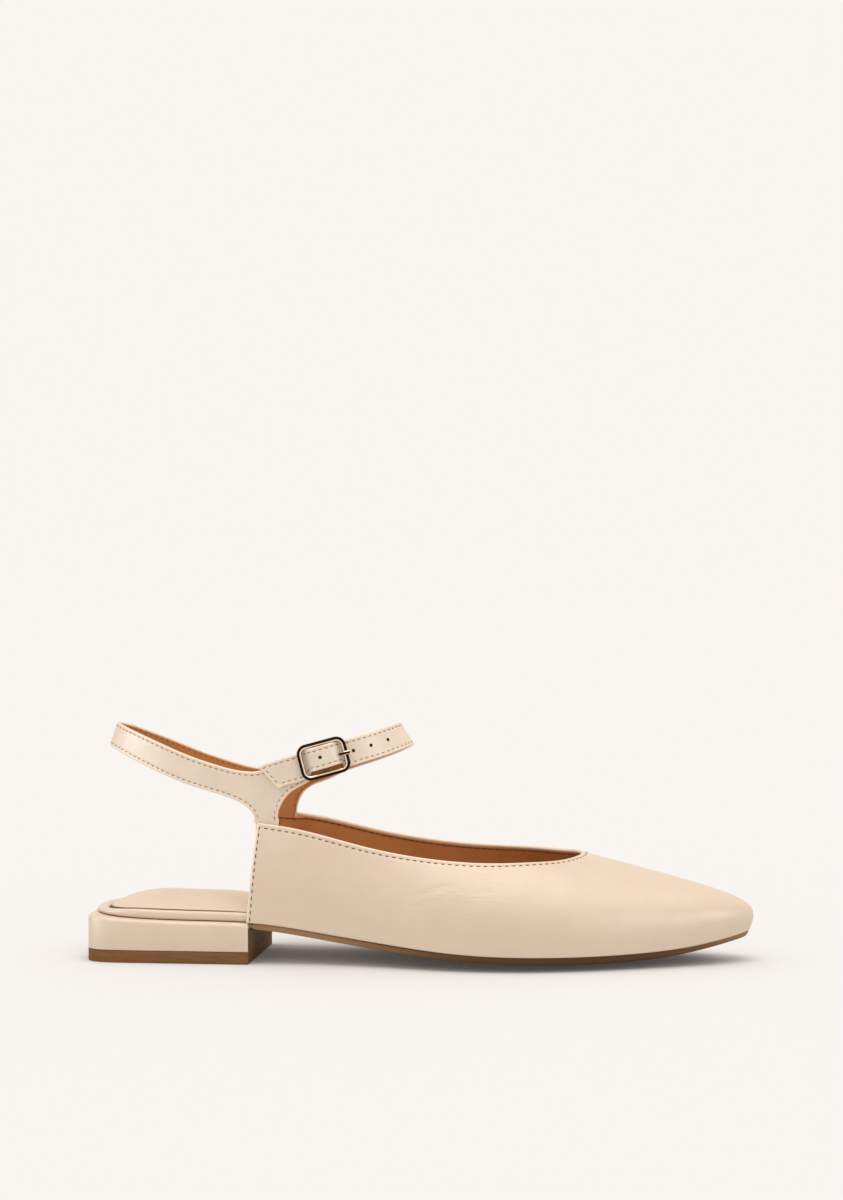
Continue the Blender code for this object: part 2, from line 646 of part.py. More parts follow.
def make_ankle_strap(leather, buckle):
    low, high = ankle_edges()
    middle = (low + high) / 2
    out = strap_normals(middle, high - low)
    to_buckle = np.array(buckle.inverted())
    along = (np.column_stack([middle, np.ones(len(middle))]) @ to_buckle.T)[:, 0]
    swell = 0.5 + 0.5 * np.cos(math.pi * along / STRAP_LIFT_HALF)
    window = np.where(np.abs(along) < STRAP_LIFT_HALF, swell, 0)
    window = window * (middle[:, 1] < 0)
    inner = STRAP_THICKNESS / 2 + LAYER_GAP + STRAP_LIFT * window
    arch = STRAP_ARCH * smooth_step(window, 0, STRAP_ARCH_SHARE)[:, None]
    low = low + (high - low) / np.linalg.norm(high - low, axis=1)[:, None] * arch
    rings = ribbon_rings(low, high, out, inner, inner + STRAP_THICKNESS, (0.0, 0.5, 1.0))
    strap = add_object("ankle_strap", loft("ankle_strap", rings), leather)
    place = buckle @ Matrix.Translation((PRONG_HOLE_ALONG, 0, 0))
    combine(strap, cylinder("prong_hole", PRONG_HOLE_RADIUS, 0.02, place, 16), "DIFFERENCE")


# Buckle
def frame_path(out):
    """A rectangle with round corners, in the buckle's own plane."""
    points = []
    for corner, (sx, sy) in enumerate(((1, 1), (-1, 1), (-1, -1), (1, -1))):
        cx, cy = sx * (FRAME_HALF_LENGTH - FRAME_CORNER), sy * (FRAME_HALF_WIDTH - FRAME_CORNER)
        for turn in np.linspace(corner * math.pi / 2, (corner + 1) * math.pi / 2, 6):
            points.append((cx + FRAME_CORNER * math.cos(turn), cy + FRAME_CORNER * math.sin(turn), out))
    return points


def placed(points, matrix):
    return [matrix @ Vector(point) for point in points]


def make_buckle(metal, buckle):
    frame_out = LAYER_GAP + STRAP_THICKNESS + GAP + FRAME_RADIUS
    frame = tube("buckle_frame", placed(frame_path(frame_out), buckle), FRAME_RADIUS, cyclic=True)
    frame = add_object("buckle_frame", curve_mesh("buckle_frame", frame), metal)
    half_bar = [
        (0, FRAME_HALF_WIDTH, frame_out),
        (0, BAR_HALF_WIDTH + BAR_RADIUS, BAR_OUT + BAR_RADIUS),
        (0, BAR_HALF_WIDTH, BAR_OUT),
    ]
    bar_path = half_bar + [(x, -y, z) for x, y, z in half_bar[::-1]]
    bar_mesh = curve_mesh("centre_bar", tube("centre_bar", placed(bar_path, buckle), BAR_RADIUS))
    combine(frame, add_object("centre_bar", bar_mesh, None, CUTTERS), "UNION")

    eye_turns = np.radians(np.linspace(-70, -330, 14))
    eye = [
        (PRONG_EYE_RADIUS * math.cos(a), 0, BAR_OUT + PRONG_EYE_RADIUS * math.sin(a)) for a in eye_turns
    ]
    rest = frame_out + FRAME_RADIUS + GAP + PRONG_RADIUS
    shank = [(0.0030, 0, 0.0008), (0.0046, 0, 0.0005), (0.0056, 0, 0.0012), (0.0063, 0, 0.0030),
             (0.0070, 0, 0.0046), (0.0079, 0, rest), (0.0098, 0, rest - PRONG_RADIUS / 2)]
    prong = tube("buckle_prong", placed(eye + shank, buckle), PRONG_RADIUS)
    add_object("buckle_prong", curve_mesh("buckle_prong", prong), metal)


def main():
    clear_scene()
    leather = make_material("beige_leather", BEIGE, 0.45)
    rubber = make_material("brown_sole", SOLE_BROWN, 0.6)
    metal = make_material("pale_gold", PALE_GOLD, 0.18, 1.0)
    buckle = buckle_matrix()
    make_upper(leather)
    make_outsole(rubber)
    make_heel(leather, rubber)
    make_insole_rim(leather)
    make_insole(leather)
    make_heel_strap(leather, buckle)
    make_ankle_strap(leather, buckle)
    make_buckle(metal, buckle)


main()
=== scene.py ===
"""The looks of a pointed slingback flat for the right foot: leather, lining, stitches, sole and buckle.

Metres. +X runs to the toe, -Y is the outer side of the foot, +Z is up, and the floor is z = 0.
The tables measure from a point on the heel's middle line, about halfway along the shoe, and
FRAME_SHIFT puts what they make into the part's frame.
"""

import math
from collections import namedtuple

import bmesh
import bpy
import numpy as np
from mathutils import Matrix, Vector


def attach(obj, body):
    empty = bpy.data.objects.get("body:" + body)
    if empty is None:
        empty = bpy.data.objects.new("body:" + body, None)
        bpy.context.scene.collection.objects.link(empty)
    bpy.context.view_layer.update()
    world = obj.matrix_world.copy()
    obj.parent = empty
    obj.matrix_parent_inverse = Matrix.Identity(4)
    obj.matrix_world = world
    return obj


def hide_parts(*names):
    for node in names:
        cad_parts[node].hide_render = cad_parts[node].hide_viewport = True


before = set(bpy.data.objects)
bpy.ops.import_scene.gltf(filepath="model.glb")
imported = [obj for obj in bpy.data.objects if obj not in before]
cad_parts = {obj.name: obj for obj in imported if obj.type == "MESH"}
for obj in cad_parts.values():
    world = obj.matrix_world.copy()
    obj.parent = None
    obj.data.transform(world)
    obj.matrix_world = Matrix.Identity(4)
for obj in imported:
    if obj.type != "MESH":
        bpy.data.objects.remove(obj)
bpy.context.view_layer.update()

# Driving sizes, the same as the solids'
FRAME_SHIFT = (-0.00007, 0.00057, 0.0)
GAP = 0.0003
LAYER_GAP = 0.0005
WALL = 0.0018
STRAP_THICKNESS = 0.0016
BREAST_X = -0.0640
HEEL_BACK_X = -0.1290
HEEL_CURVE_X = -0.0985
HEEL_OUTER = 0.0279
HEEL_INNER = 0.0274
HEEL_SQUARENESS = 6.0
SEAT_BACK_X = -0.1297
SEAT_OUTER_SQUARENESS = 3.0
SEAT_INNER_SQUARENESS = 2.2
LIFT_HEIGHT = 0.0047
SOLE_INSET = 0.0008
SOLE_THICKNESS = 0.0021
SOLE_TOE_THICKNESS = 0.0013
SOLE_TAPER_X = 0.0600
RIM_INSET = 0.0022
RIM_WIDTH = 0.0030
RIM_BACK_WIDTH = 0.0046
RIM_TURN_X = -0.1050
RIM_HEIGHT = 0.0034
RIM_BACK_HEIGHT = 0.0016
RIM_END_X = -0.0575
INSOLE_THICKNESS = 0.0022
SEAT_PAD_THICKNESS = 0.0024
SEAT_PAD_CROWN = 0.0058
SEAT_PAD_START_X = -0.0800
SEAT_PAD_END_X = -0.0300
TAB_COLLAR_Z = 0.0540
TAB_FLARE = 0.15
TOE_CROWDING = 1.5

# Buckle sizes, along the strap, across it and out from the arm's outer face
BUCKLE_X = -0.03545
BUCKLE_UP = 0.00065
BUCKLE_TURN_DEG = -1.7
FRAME_HALF_LENGTH = 0.00870
FRAME_HALF_WIDTH = 0.00610
FRAME_CORNER = 0.0028
FRAME_RADIUS = 0.00095
BAR_RADIUS = 0.0007
BAR_OUT = 0.00075
BAR_HALF_WIDTH = 0.0048
SLEEVE_RADIUS = 0.00175
SLEEVE_HALF_WIDTH = 0.0040
PRONG_RADIUS = 0.00055
PIN_RADIUS = 0.00085
PRONG_EYE_RADIUS = 0.00155
PRONG_SLOT_HALF = 0.0011
PRONG_HOLE_ALONG = 0.0064
STRAP_LIFT = 0.0029
STRAP_LIFT_FLAT = 0.0030
STRAP_LIFT_HALF = 0.0078
STRAP_ARCH = 0.0022
STRAP_ARCH_SHARE = 0.45
STRAP_PEAK = 0.00055
STRAP_PEAK_FADE = (0.00765, 0.00935)
STRAP_HOLES = (-0.0012, 0.0110, 0.0180, 0.0254)
STRAP_HOLE_RADIUS = 0.00070
STRAP_HOLE_DEPTH = 0.00075
FOLD_ALONG = (-0.0068, 0.0066)
FOLD_ACROSS = (-0.0053, 0.0046)

# The prong: the turns of its eye round the bar, and its shank from there, along the strap and out
EYE_TURNS_DEG = (-70, -330)
PRONG_SHANK = [(0.0030, 0.0008), (0.0048, 0.0005), (0.0060, 0.0012), (0.0067, 0.0030), (0.0074, 0.0046)]
PRONG_REST_ALONG = 0.0083
PRONG_TIP_ALONG = 0.0103

# Layers of leather and lining, and the thread that sews them
UPPER_LEATHER = 0.0012
LINING_INSET = 0.0010
STRAP_LINING_INSET = 0.0006
FOLD_PUFF = 0.00010
FOLD_WIDTH = 0.0018
FOLD_FULL_SHARE = 0.4
# Width of the painted highlight along folded edges, and the share of that width where it is full
EDGE_HIGHLIGHT_WIDTH = 0.0010
EDGE_HIGHLIGHT_FULL_SHARE = 0.3
GROOVE_DEPTH = 0.00014
GROOVE_WIDTH = 0.00034
COLLAR_STITCH = 0.0019
BACK_STITCH = 0.0013
STRAP_STITCH = 0.0014
COLLAR_PITCH = 0.0027
STRAP_PITCH = 0.0024
COLLAR_THREAD_RADIUS = 0.00018
STRAP_THREAD_RADIUS = 0.00012
STITCH_SHARE = 0.62
STRAP_LEATHER_BACK = 0.0002
TAB_COVER = 0.0026
TAB_COVER_BESIDE = (0.0045, 0.0080)
TAB_COVER_Z = (0.0360, 0.0450)
TAB_MIDDLE_X = -0.0578

# Sole, heel and footbed as the scene shows them
SOLE_WAIST_X = -0.0400
SOLE_BALL_X = 0.0200
SOLE_BALL_INSET = 0.0004
SOLE_WAIST_ROUND = 0.0005
SOLE_BALL_ROUND = 0.0017
SOLE_UNDER_UPPER = 0.9 * GAP
SOLE_TOE_X = (0.0950, 0.1120)
SOLE_TOE_DEPTH = (0.0010, 0.0018)
SOLE_TOE_RISE = 0.0006
SOLE_END_SHARE = 0.999
# Heights of the sole's top: below the first the painted shade near the floor is full, above the second
# it is gone
SOLE_FLOOR_SHADE_Z = (0.0045, 0.0125)
HEEL_TOP_ROUND = 0.0017
HEEL_FOOT_ROUND = 0.0003
HEEL_SEAM = 0.0001
LIFT_CORNER_SHARE = 0.3
RIM_SQUARENESS = 0.75
SEAT_PAD_LEAD = 0.0030
SEAT_PAD_SLOPE = 0.0230
FOOTBED_TURNS = (0.30, math.pi - 0.17)
FOOTBED_SEAM = 0.0008
FOOTBED_ROUND = 0.0014
# Painted shadow in the groove between the footbed and the rolled rim: its width, the share of that width
# at the very back, and the share of it that is full
FOOTBED_SHADOW_WIDTH = 0.0016
FOOTBED_SHADOW_BACK_SHARE = 0.3
FOOTBED_SHADOW_SHARPNESS = 0.8

# How finely the pieces are divided
UPPER_STATIONS = 300
UPPER_ROWS = 52
WALL_SAMPLES = 81
HEEL_CURVE_POINTS = 60
SIDE_POINTS = 240
OUTLINE_POINTS = 500
SOLE_STATIONS = 141
SOLE_ROWS = 14
HEEL_POINTS = 80
HEEL_FOOT_RINGS = 4
HEEL_TOP_RINGS = 7
BREAST_COLUMNS = 30
BREAST_ROWS = 14
RIM_POINTS = 90
RIM_SIDES = 24
FOOTBED_STATIONS = 121
FOOTBED_ROWS = 20
SLING_STEPS = 8
SLING_ROWS_ACROSS = 10
ANKLE_STEPS = 12
ANKLE_ROWS_ACROSS = 8
HOLE_SIDES = 24
CORNER_POINTS = 14
WIRE_SIDES = 40
WIRE_STEPS = 6
EYE_POINTS = 27
FOLD_POINTS = 40
SLEEVE_RINGS = 8
STITCH_SIDES = 6

# Edges that turn by more than this stay sharp
SHARP_ANGLE = math.radians(40)

# The search for the nearest line: points at a time, and the least square of a step's length
POINTS_AT_ONCE = 200
LEAST_SQUARE = 1e-16

# The least share of its thickness that a piece has inside its seam
LEAST_SHARE = 0.01

# The rings of one stitch: where along it, and how thick and how high in radii of the thread
Ring = namedtuple("Ring", "place thickness height")
STITCH_RINGS = [
    Ring(-0.50, 0.55, -1.2),
    Ring(-0.36, 0.90, -0.1),
    Ring(-0.12, 1.0, 0.35),
    Ring(0.12, 1.0, 0.35),
    Ring(0.36, 0.90, -0.1),
    Ring(0.50, 0.55, -1.2),
]

# Steps of the meshes from an edge inwards, close together where the edge is round
EDGE_STEPS = (
    0.0, 0.00006, 0.0002, 0.0004, 0.0006, 0.0009, BACK_STITCH, 0.0016, COLLAR_STITCH, 0.0023, 0.0030
)
COLLAR_ROW = EDGE_STEPS.index(COLLAR_STITCH)
BACK_ROW = EDGE_STEPS.index(BACK_STITCH)
EDGE_CLEARANCE = 1.2 * EDGE_STEPS[-1]

# The last, one row for each section of the upper: where the feather edge and the collar are, and the
# shoulder that the wall turns over, measured forward, out and up from the feather edge.
Section = namedtuple(
    "Section",
    "feather_x feather_y collar_x collar_y collar_z shoulder_on shoulder_out shoulder_up fullness",
)
OUTER_SECTIONS = [
    Section(-0.0647, -0.0279, -0.0608, -0.0248, 0.0543, 0.0021, 0.0004, 0.0230, 0.60),
    Section(-0.0450, -0.0275, -0.0445, -0.0256, 0.0519, 0.0006, 0.0010, 0.0225, 0.60),
    Section(-0.0200, -0.0299, -0.0220, -0.0280, 0.0466, 0.0000, 0.0016, 0.0215, 0.60),
    Section(0.0050, -0.0360, 0.0000, -0.0298, 0.0426, 0.0000, 0.0018, 0.0205, 0.61),
    Section(0.0280, -0.0388, 0.0190, -0.0298, 0.0407, 0.0000, 0.0020, 0.0195, 0.62),
    Section(0.0500, -0.0366, 0.0340, -0.0280, 0.0403, 0.0000, 0.0022, 0.0190, 0.64),
    Section(0.0700, -0.0308, 0.0450, -0.0242, 0.0404, 0.0000, 0.0024, 0.0182, 0.66),
    Section(0.0880, -0.0232, 0.0530, -0.0188, 0.0404, 0.0000, 0.0027, 0.0172, 0.69),
    Section(0.1045, -0.0152, 0.0586, -0.0125, 0.0408, 0.0000, 0.0031, 0.0160, 0.72),
    Section(0.1182, -0.0074, 0.0616, -0.0065, 0.0413, 0.0000, 0.0036, 0.0142, 0.74),
    Section(0.1248, -0.0017, 0.0625, -0.0026, 0.0415, 0.0000, 0.0040, 0.0126, 0.75),
]
TOE_SECTION = Section(0.1276, 0.0044, 0.0628, 0.0010, 0.0417, 0.0000, 0.0043, 0.0120, 0.75)
INNER_SECTIONS = [
    Section(0.1255, 0.0097, 0.0626, 0.0045, 0.0416, 0.0000, 0.0042, 0.0125, 0.75),
    Section(0.1194, 0.0141, 0.0613, 0.0084, 0.0416, 0.0000, 0.0038, 0.0141, 0.74),
    Section(0.1073, 0.0198, 0.0584, 0.0141, 0.0414, 0.0000, 0.0032, 0.0160, 0.72),
    Section(0.0910, 0.0264, 0.0528, 0.0198, 0.0412, 0.0000, 0.0028, 0.0172, 0.69),
    Section(0.0720, 0.0332, 0.0448, 0.0248, 0.0413, 0.0000, 0.0025, 0.0184, 0.66),
    Section(0.0520, 0.0372, 0.0335, 0.0283, 0.0415, 0.0000, 0.0022, 0.0194, 0.64),
    Section(0.0300, 0.0368, 0.0185, 0.0295, 0.0420, 0.0000, 0.0020, 0.0200, 0.62),
    Section(0.0060, 0.0322, 0.0000, 0.0291, 0.0438, 0.0000, 0.0022, 0.0210, 0.61),
    Section(-0.0200, 0.0271, -0.0220, 0.0272, 0.0477, 0.0000, 0.0022, 0.0220, 0.60),
    Section(-0.0450, 0.0260, -0.0445, 0.0254, 0.0528, 0.0006, 0.0014, 0.0230, 0.60),
    Section(-0.0647, 0.0274, -0.0608, 0.0248, 0.0547, 0.0021, 0.0005, 0.0232, 0.60),
]
SECTIONS = OUTER_SECTIONS + [TOE_SECTION] + INNER_SECTIONS

# The seat is the top of heel and sole: its height at the edge, and how far its middle lies lower.
Seat = namedtuple("Seat", "x edge camber")
SEAT_ROWS = [
    Seat(-0.1300, 0.0180, 0.0000),
    Seat(-0.1180, 0.0172, 0.0000),
    Seat(-0.1050, 0.0166, 0.0000),
    Seat(-0.0900, 0.0162, 0.0000),
    Seat(-0.0750, 0.0160, 0.0000),
    Seat(-0.0620, 0.0155, 0.0000),
    Seat(-0.0480, 0.0139, 0.0005),
    Seat(-0.0300, 0.0112, 0.0014),
    Seat(-0.0080, 0.0085, 0.0024),
    Seat(0.0150, 0.0064, 0.0031),
    Seat(0.0450, 0.0053, 0.0036),
    Seat(0.0700, 0.0053, 0.0034),
    Seat(0.0880, 0.0058, 0.0029),
    Seat(0.1040, 0.0071, 0.0018),
    Seat(0.1160, 0.0091, 0.0009),
    Seat(0.1280, 0.0115, 0.0003),
]

# The heel strap from the arms' ends past the tabs to the middle of the back: distance from the middle
# line, the heights of the lower and upper edges, and how far the upper edge leans forward. The inner
# side of the foot has edges of its own, a little lower.
Sling = namedtuple("Sling", "x y bottom top inner_bottom inner_top lean")
SLING_ROWS = [
    Sling(-0.0346, 0.0205, 0.0738, 0.0830, 0.0702, 0.0803, 0.0),
    Sling(-0.0385, 0.0210, 0.0720, 0.0820, 0.0682, 0.0792, 0.0),
    Sling(-0.0423, 0.0213, 0.0694, 0.0809, 0.0667, 0.0781, 0.0),
    Sling(-0.0455, 0.0215, 0.0676, 0.0799, 0.0655, 0.0772, 0.0),
    Sling(-0.0485, 0.0216, 0.0656, 0.0787, 0.0637, 0.0760, 0.0),
    Sling(-0.0508, 0.02165, 0.0630, 0.0778, 0.0612, 0.0751, 0.0),
    Sling(-0.0524, 0.02165, 0.0600, 0.0770, 0.0570, 0.0743, 0.0),
    Sling(-0.0533, 0.02165, 0.0566, 0.0765, 0.0510, 0.0738, 0.0),
    Sling(-0.0536, 0.02165, 0.0445, 0.0762, 0.0445, 0.0736, 0.0),
    Sling(-0.0576, 0.02165, 0.0440, 0.0747, 0.0440, 0.0726, 0.0),
    Sling(-0.0616, 0.02165, 0.0445, 0.0738, 0.0445, 0.0719, 0.0),
    Sling(-0.0621, 0.02165, 0.0545, 0.0737, 0.0545, 0.0718, 0.0),
    Sling(-0.0634, 0.02165, 0.0577, 0.0736, 0.0577, 0.0717, 0.0),
    Sling(-0.0655, 0.0216, 0.0600, 0.0737, 0.0600, 0.0718, 0.0),
    Sling(-0.0691, 0.0214, 0.0621, 0.0741, 0.0619, 0.0722, 0.0),
    Sling(-0.0751, 0.0210, 0.0643, 0.0754, 0.0637, 0.0735, 0.0),
    Sling(-0.0834, 0.0201, 0.0666, 0.0778, 0.0658, 0.0761, 0.0),
    Sling(-0.0918, 0.0187, 0.0692, 0.0806, 0.0685, 0.0790, 0.0004),
    Sling(-0.1002, 0.0164, 0.0725, 0.0838, 0.0720, 0.0825, 0.0009),
    Sling(-0.1090, 0.0126, 0.0763, 0.0870, 0.0760, 0.0862, 0.0017),
    Sling(-0.1172, 0.0072, 0.0799, 0.0898, 0.0798, 0.0896, 0.0026),
    Sling(-0.1222, 0.0000, 0.0820, 0.0913, 0.0820, 0.0913, 0.0032),
]

# The ankle strap's inner face, from the middle of the front to the strap's end on the tab, and how much
# lower it is on the inner side of the foot.
Band = namedtuple("Band", "x y z inner_drop tilt_deg width")
ANKLE_ROWS = [
    Band(-0.0081, 0.0000, 0.0860, 0.0000, 33.0, 0.0105),
    Band(-0.0094, 0.0048, 0.0857, 0.0004, 32.0, 0.0105),
    Band(-0.0126, 0.0092, 0.0848, 0.0010, 28.0, 0.0105),
    Band(-0.0169, 0.0132, 0.0836, 0.0015, 23.0, 0.0105),
    Band(-0.0228, 0.0168, 0.0820, 0.0020, 18.5, 0.0105),
    Band(-0.0300, 0.0196, 0.0799, 0.0024, 16.5, 0.0105),
    Band(-0.0380, 0.0209, 0.0775, 0.0027, 16.5, 0.0105),
    Band(-0.0460, 0.0215, 0.0751, 0.0027, 16.5, 0.0105),
    Band(-0.0520, 0.02165, 0.0733, 0.0027, 18.0, 0.0105),
    Band(-0.0568, 0.02165, 0.0714, 0.0027, 43.0, 0.0116),
]

# Soft creases where the foot bends: the middle of each, its half length, how steeply it rises to the
# toe, its depth, which is a ridge where it is below zero, and its half width. Outer side first.
Crease = namedtuple("Crease", "side x z half_length slope_deg depth half_width")
CREASES = [
    Crease(-1, 0.0060, 0.0295, 0.0110, 14.0, 0.00022, 0.0010),
    Crease(-1, 0.0115, 0.0318, 0.0090, 9.0, 0.00018, 0.0009),
    Crease(-1, 0.0080, 0.0262, 0.0120, 17.0, 0.00018, 0.0011),
    Crease(-1, 0.0250, 0.0300, 0.0100, 4.0, 0.00014, 0.0010),
    Crease(-1, 0.0170, 0.0285, 0.0130, 12.0, -0.00014, 0.0014),
    Crease(-1, -0.0120, 0.0300, 0.0090, 24.0, 0.00012, 0.0011),
    Crease(1, 0.0080, 0.0300, 0.0110, 13.0, 0.00020, 0.0010),
    Crease(1, 0.0150, 0.0270, 0.0120, 16.0, 0.00018, 0.0011),
    Crease(1, 0.0240, 0.0310, 0.0090, 6.0, 0.00014, 0.0010),
]

# Fine wrinkles round the creases
FLEX_X = 0.0230
FLEX_Z = 0.0280
FLEX_HALF_LENGTH = 0.0260
FLEX_HALF_HEIGHT = 0.0140

# Colours, linear
BEIGE = (0.690, 0.548, 0.412)
BEIGE_PALE = (0.708, 0.564, 0.426)
BEIGE_DEEP = (0.672, 0.532, 0.398)
# Paler and more blotchy than BEIGE: painted sheen and mottled highlights on the straps
STRAP_SHEEN_BEIGE = (0.745, 0.619, 0.486)
STRAP_SHEEN_PALE = (0.785, 0.660, 0.526)
STRAP_SHEEN_DEEP = (0.705, 0.578, 0.446)
# Painted highlight along the folded edges of the upper and the straps
FOLD_HIGHLIGHT = (0.820, 0.660, 0.510)
# Painted shadow in the groove round the back of the footbed
FOOTBED_SHADOW_BROWN = (0.075, 0.032, 0.012)
TAN = (0.475, 0.187, 0.057)
TAN_DEEP = (0.420, 0.160, 0.048)
TAN_EDGE = (0.150, 0.055, 0.018)
SOLE_BROWN = (0.236, 0.117, 0.050)
SOLE_DEEP = (0.180, 0.086, 0.036)
# The sole's browns are a paler copy of the rubber's, with painted light
SOLE_PAINTED_LIGHT_BROWN = (0.370, 0.214, 0.118)
SOLE_PAINTED_LIGHT_DEEP = (0.310, 0.170, 0.088)
# Painted shade on the sole close to the floor
SOLE_FLOOR_SHADE = (0.105, 0.052, 0.024)
COLLAR_THREAD = (0.070, 0.031, 0.012)
STRAP_THREAD = (0.160, 0.090, 0.045)
GOLD = (0.860, 0.690, 0.500)
# Painted dark reflection and shade on the buckle
DARK_REFLECTION_AND_SHADE = (0.014, 0.006, 0.003)
BACKGROUND = (0.946, 0.913, 0.885)
FLOOR = (0.714, 0.714, 0.714)
FLOOR_GLOW = 0.05
# Painted shade on the walls of the strap's holes
HOLE_SHADE_DARK = (0.030, 0.020, 0.014)
HOLE_SHADE_BROWN = (0.075, 0.050, 0.034)
THREAD_SHADE = 0.7

# Kinds of leather: colours of its blotches and its edge, the range of its roughness, and its gloss
Leather = namedtuple("Leather", "name deep middle pale edge rough_low rough_high specular")
LEATHERS = [
    Leather("smooth_leather", BEIGE_DEEP, BEIGE, BEIGE_PALE, FOLD_HIGHLIGHT, 0.40, 0.50, 0.50),
    Leather("strap_leather_painted_sheen", STRAP_SHEEN_DEEP, STRAP_SHEEN_BEIGE, STRAP_SHEEN_PALE, FOLD_HIGHLIGHT, 0.40, 0.50, 0.50),
    Leather("seat_leather", BEIGE_DEEP, BEIGE, BEIGE_PALE, FOOTBED_SHADOW_BROWN, 0.46, 0.56, 0.30),
    Leather("tan_lining_leather", TAN_DEEP, TAN, TAN, TAN_EDGE, 0.58, 0.72, 0.20),
]

# Patterns of the materials: how many fit into a metre, and how some are stretched or turned
BLOTCHES = 95.0
GLOSS_SPOTS = 420.0
SOLE_LAYERS = 220.0
SOLE_LAYER_STRETCH = (0.5, 0.5, 4.0)
SOLE_SPOTS = 500.0
THREAD_STRANDS = 4200.0
SCRATCHES = 2600.0
SCRATCH_STRETCH = (1.0, 6.0, 1.0)
CUT_FIBRES = 2500.0
WRINKLE_STRETCH = (0.22, 0.6, 1.0)
WRINKLE_TURN = (0.0, math.radians(16.0), 0.0)
WRINKLE_DISTORTION = 0.6

# Relief of the materials: the depth of a pattern in metres, and how strongly it shows
Relief = namedtuple("Relief", "pattern scale detail depth strength")
LEATHER_RELIEF = [
    Relief("noise", 140.0, 3.0, 0.00014, 0.30),
    Relief("wrinkles", 850.0, 2.5, 0.00032, 0.50),
    Relief("cells", 1500.0, 0.0, 0.00005, 0.55),
    Relief("noise", 3200.0, 2.0, 0.00002, 0.50),
]
SOLE_RELIEF = [
    Relief("noise", 900.0, 4.0, 0.00006, 0.50),
    Relief("cells", 2200.0, 0.0, 0.00003, 0.40),
]
STRAND_RELIEF = (0.00005, 0.60)
SCRATCH_RELIEF = (0.00001, 0.25)
FIBRE_RELIEF = (0.00004, 0.50)

# Painted dark reflection and shade on the buckle, by how far a point faces outwards: where it starts and
# where it is full
RING_REFLECTION_FADE = (-0.24, -0.08)
OPENING_SHADOW_FADE = (0.76, 0.86)
PIN_REFLECTION_FADE = (0.78, 0.90)
BAR_SHADE_SHARE = 0.56

# Lamps as far off as the sun: the angle that each fills, and where it stands from the front.
# The sheen lamps are for the gloss of the smooth leather alone.
Lamp = namedtuple("Lamp", "name energy angle_deg azimuth_deg elevation_deg sheen")
LAMPS = [
    Lamp("overhead_softbox", 1.00, 36.0, 0.0, 80.0, False),
    Lamp("overhead_sheen", 1.80, 70.0, 0.0, 75.0, True),
    Lamp("left_sheen", 4.20, 34.0, -68.0, 8.0, True),
    Lamp("right_sheen", 2.60, 26.0, 62.0, 4.0, True),
]
LAMP_COLOUR = (1.0, 0.97, 0.94)
CAMERA_AZIMUTH = math.radians(6.0)
CAMERA_DISTANCE = 0.915
CAMERA_HEIGHT = 0.1398
CAMERA_LENS = 70.0
CAMERA_SENSOR = 36.0
FLOOR_SIZE = 40.0


# Curves through tables
def column(rows, name):
    return np.array([getattr(row, name) for row in rows])


def spline(knots, values):
    """A natural cubic spline through the values at the knots, as a function."""
    knots, values = np.asarray(knots, float), np.asarray(values, float)
    steps, count = np.diff(knots), len(knots)
    slopes = np.diff(values) / steps
    matrix, right = np.eye(count), np.zeros(count)
    for i in range(1, count - 1):
        matrix[i, i - 1 : i + 2] = steps[i - 1], 2 * (steps[i - 1] + steps[i]), steps[i]
        right[i] = 3 * (slopes[i] - slopes[i - 1])
    bends = np.linalg.solve(matrix, right)

    def at(x):
        i = np.clip(np.searchsorted(knots, x) - 1, 0, count - 2)
        d = x - knots[i]
        first = slopes[i] - steps[i] * (2 * bends[i] + bends[i + 1]) / 3
        third = (bends[i + 1] - bends[i]) / (3 * steps[i])
        return values[i] + d * (first + d * (bends[i] + d * third))

    return at


def through_rows(points, steps):
    """Points on a smooth curve through the rows of an array, with that many steps from row to row.

    Each column keeps between the values of the two rows, so that no strap folds back on itself.
    """
    gaps = np.diff(points, axis=0)
    before, after = gaps[:-1], gaps[1:]
    steepest = 2 * np.minimum(np.abs(before), np.abs(after))
    middle = np.clip((before + after) / 2, -steepest, steepest)
    slopes = np.vstack([gaps[0], np.where(before * after > 0, middle, 0.0), gaps[-1]])
    made = []
    for one, gap, leave, arrive in zip(points, gaps, slopes, slopes[1:]):
        for t in np.arange(steps) / steps:
            rise = t * t * (3 - 2 * t)
            made.append(one + gap * rise + leave * t * (1 - t) ** 2 - arrive * t * t * (1 - t))
    return np.array(made + [points[-1]])


def smooth_step(x, start, end):
    share = np.clip((x - start) / (end - start), 0, 1)
    return share * share * (3 - 2 * share)


def unit(vectors):
    return vectors / np.linalg.norm(vectors, axis=-1, keepdims=True)


def running_length(points):
    return np.concatenate([[0], np.cumsum(np.linalg.norm(np.diff(points, axis=0), axis=1))])


def at_length(line, lengths, place):
    """The point of a line at one place along it, from the running lengths of its points."""
    return np.array([np.interp(place, lengths, c) for c in line.T])


def at_lengths(points, shares):
    """Points at these shares of a line's length."""
    lengths = running_length(points)
    return np.column_stack([np.interp(shares * lengths[-1], lengths, c) for c in points.T])


# The last
chords = np.hypot(np.diff(column(SECTIONS, "feather_x")), np.diff(column(SECTIONS, "feather_y")))
SECTION_PLACES = np.concatenate([[0], np.cumsum(chords)])
TOE_PLACE = SECTION_PLACES[len(OUTER_SECTIONS)]
END_PLACE = SECTION_PLACES[-1]
LAST = {name: spline(SECTION_PLACES, column(SECTIONS, name)) for name in Section._fields}
seat_edge = spline(column(SEAT_ROWS, "x"), column(SEAT_ROWS, "edge"))
seat_camber = spline(column(SEAT_ROWS, "x"), column(SEAT_ROWS, "camber"))


def outline_normals(points):
    """Unit normals of a line in plan, to the right of its direction."""
    along = unit(np.gradient(points, axis=0))
    return np.column_stack([along[:, 1], -along[:, 0]])


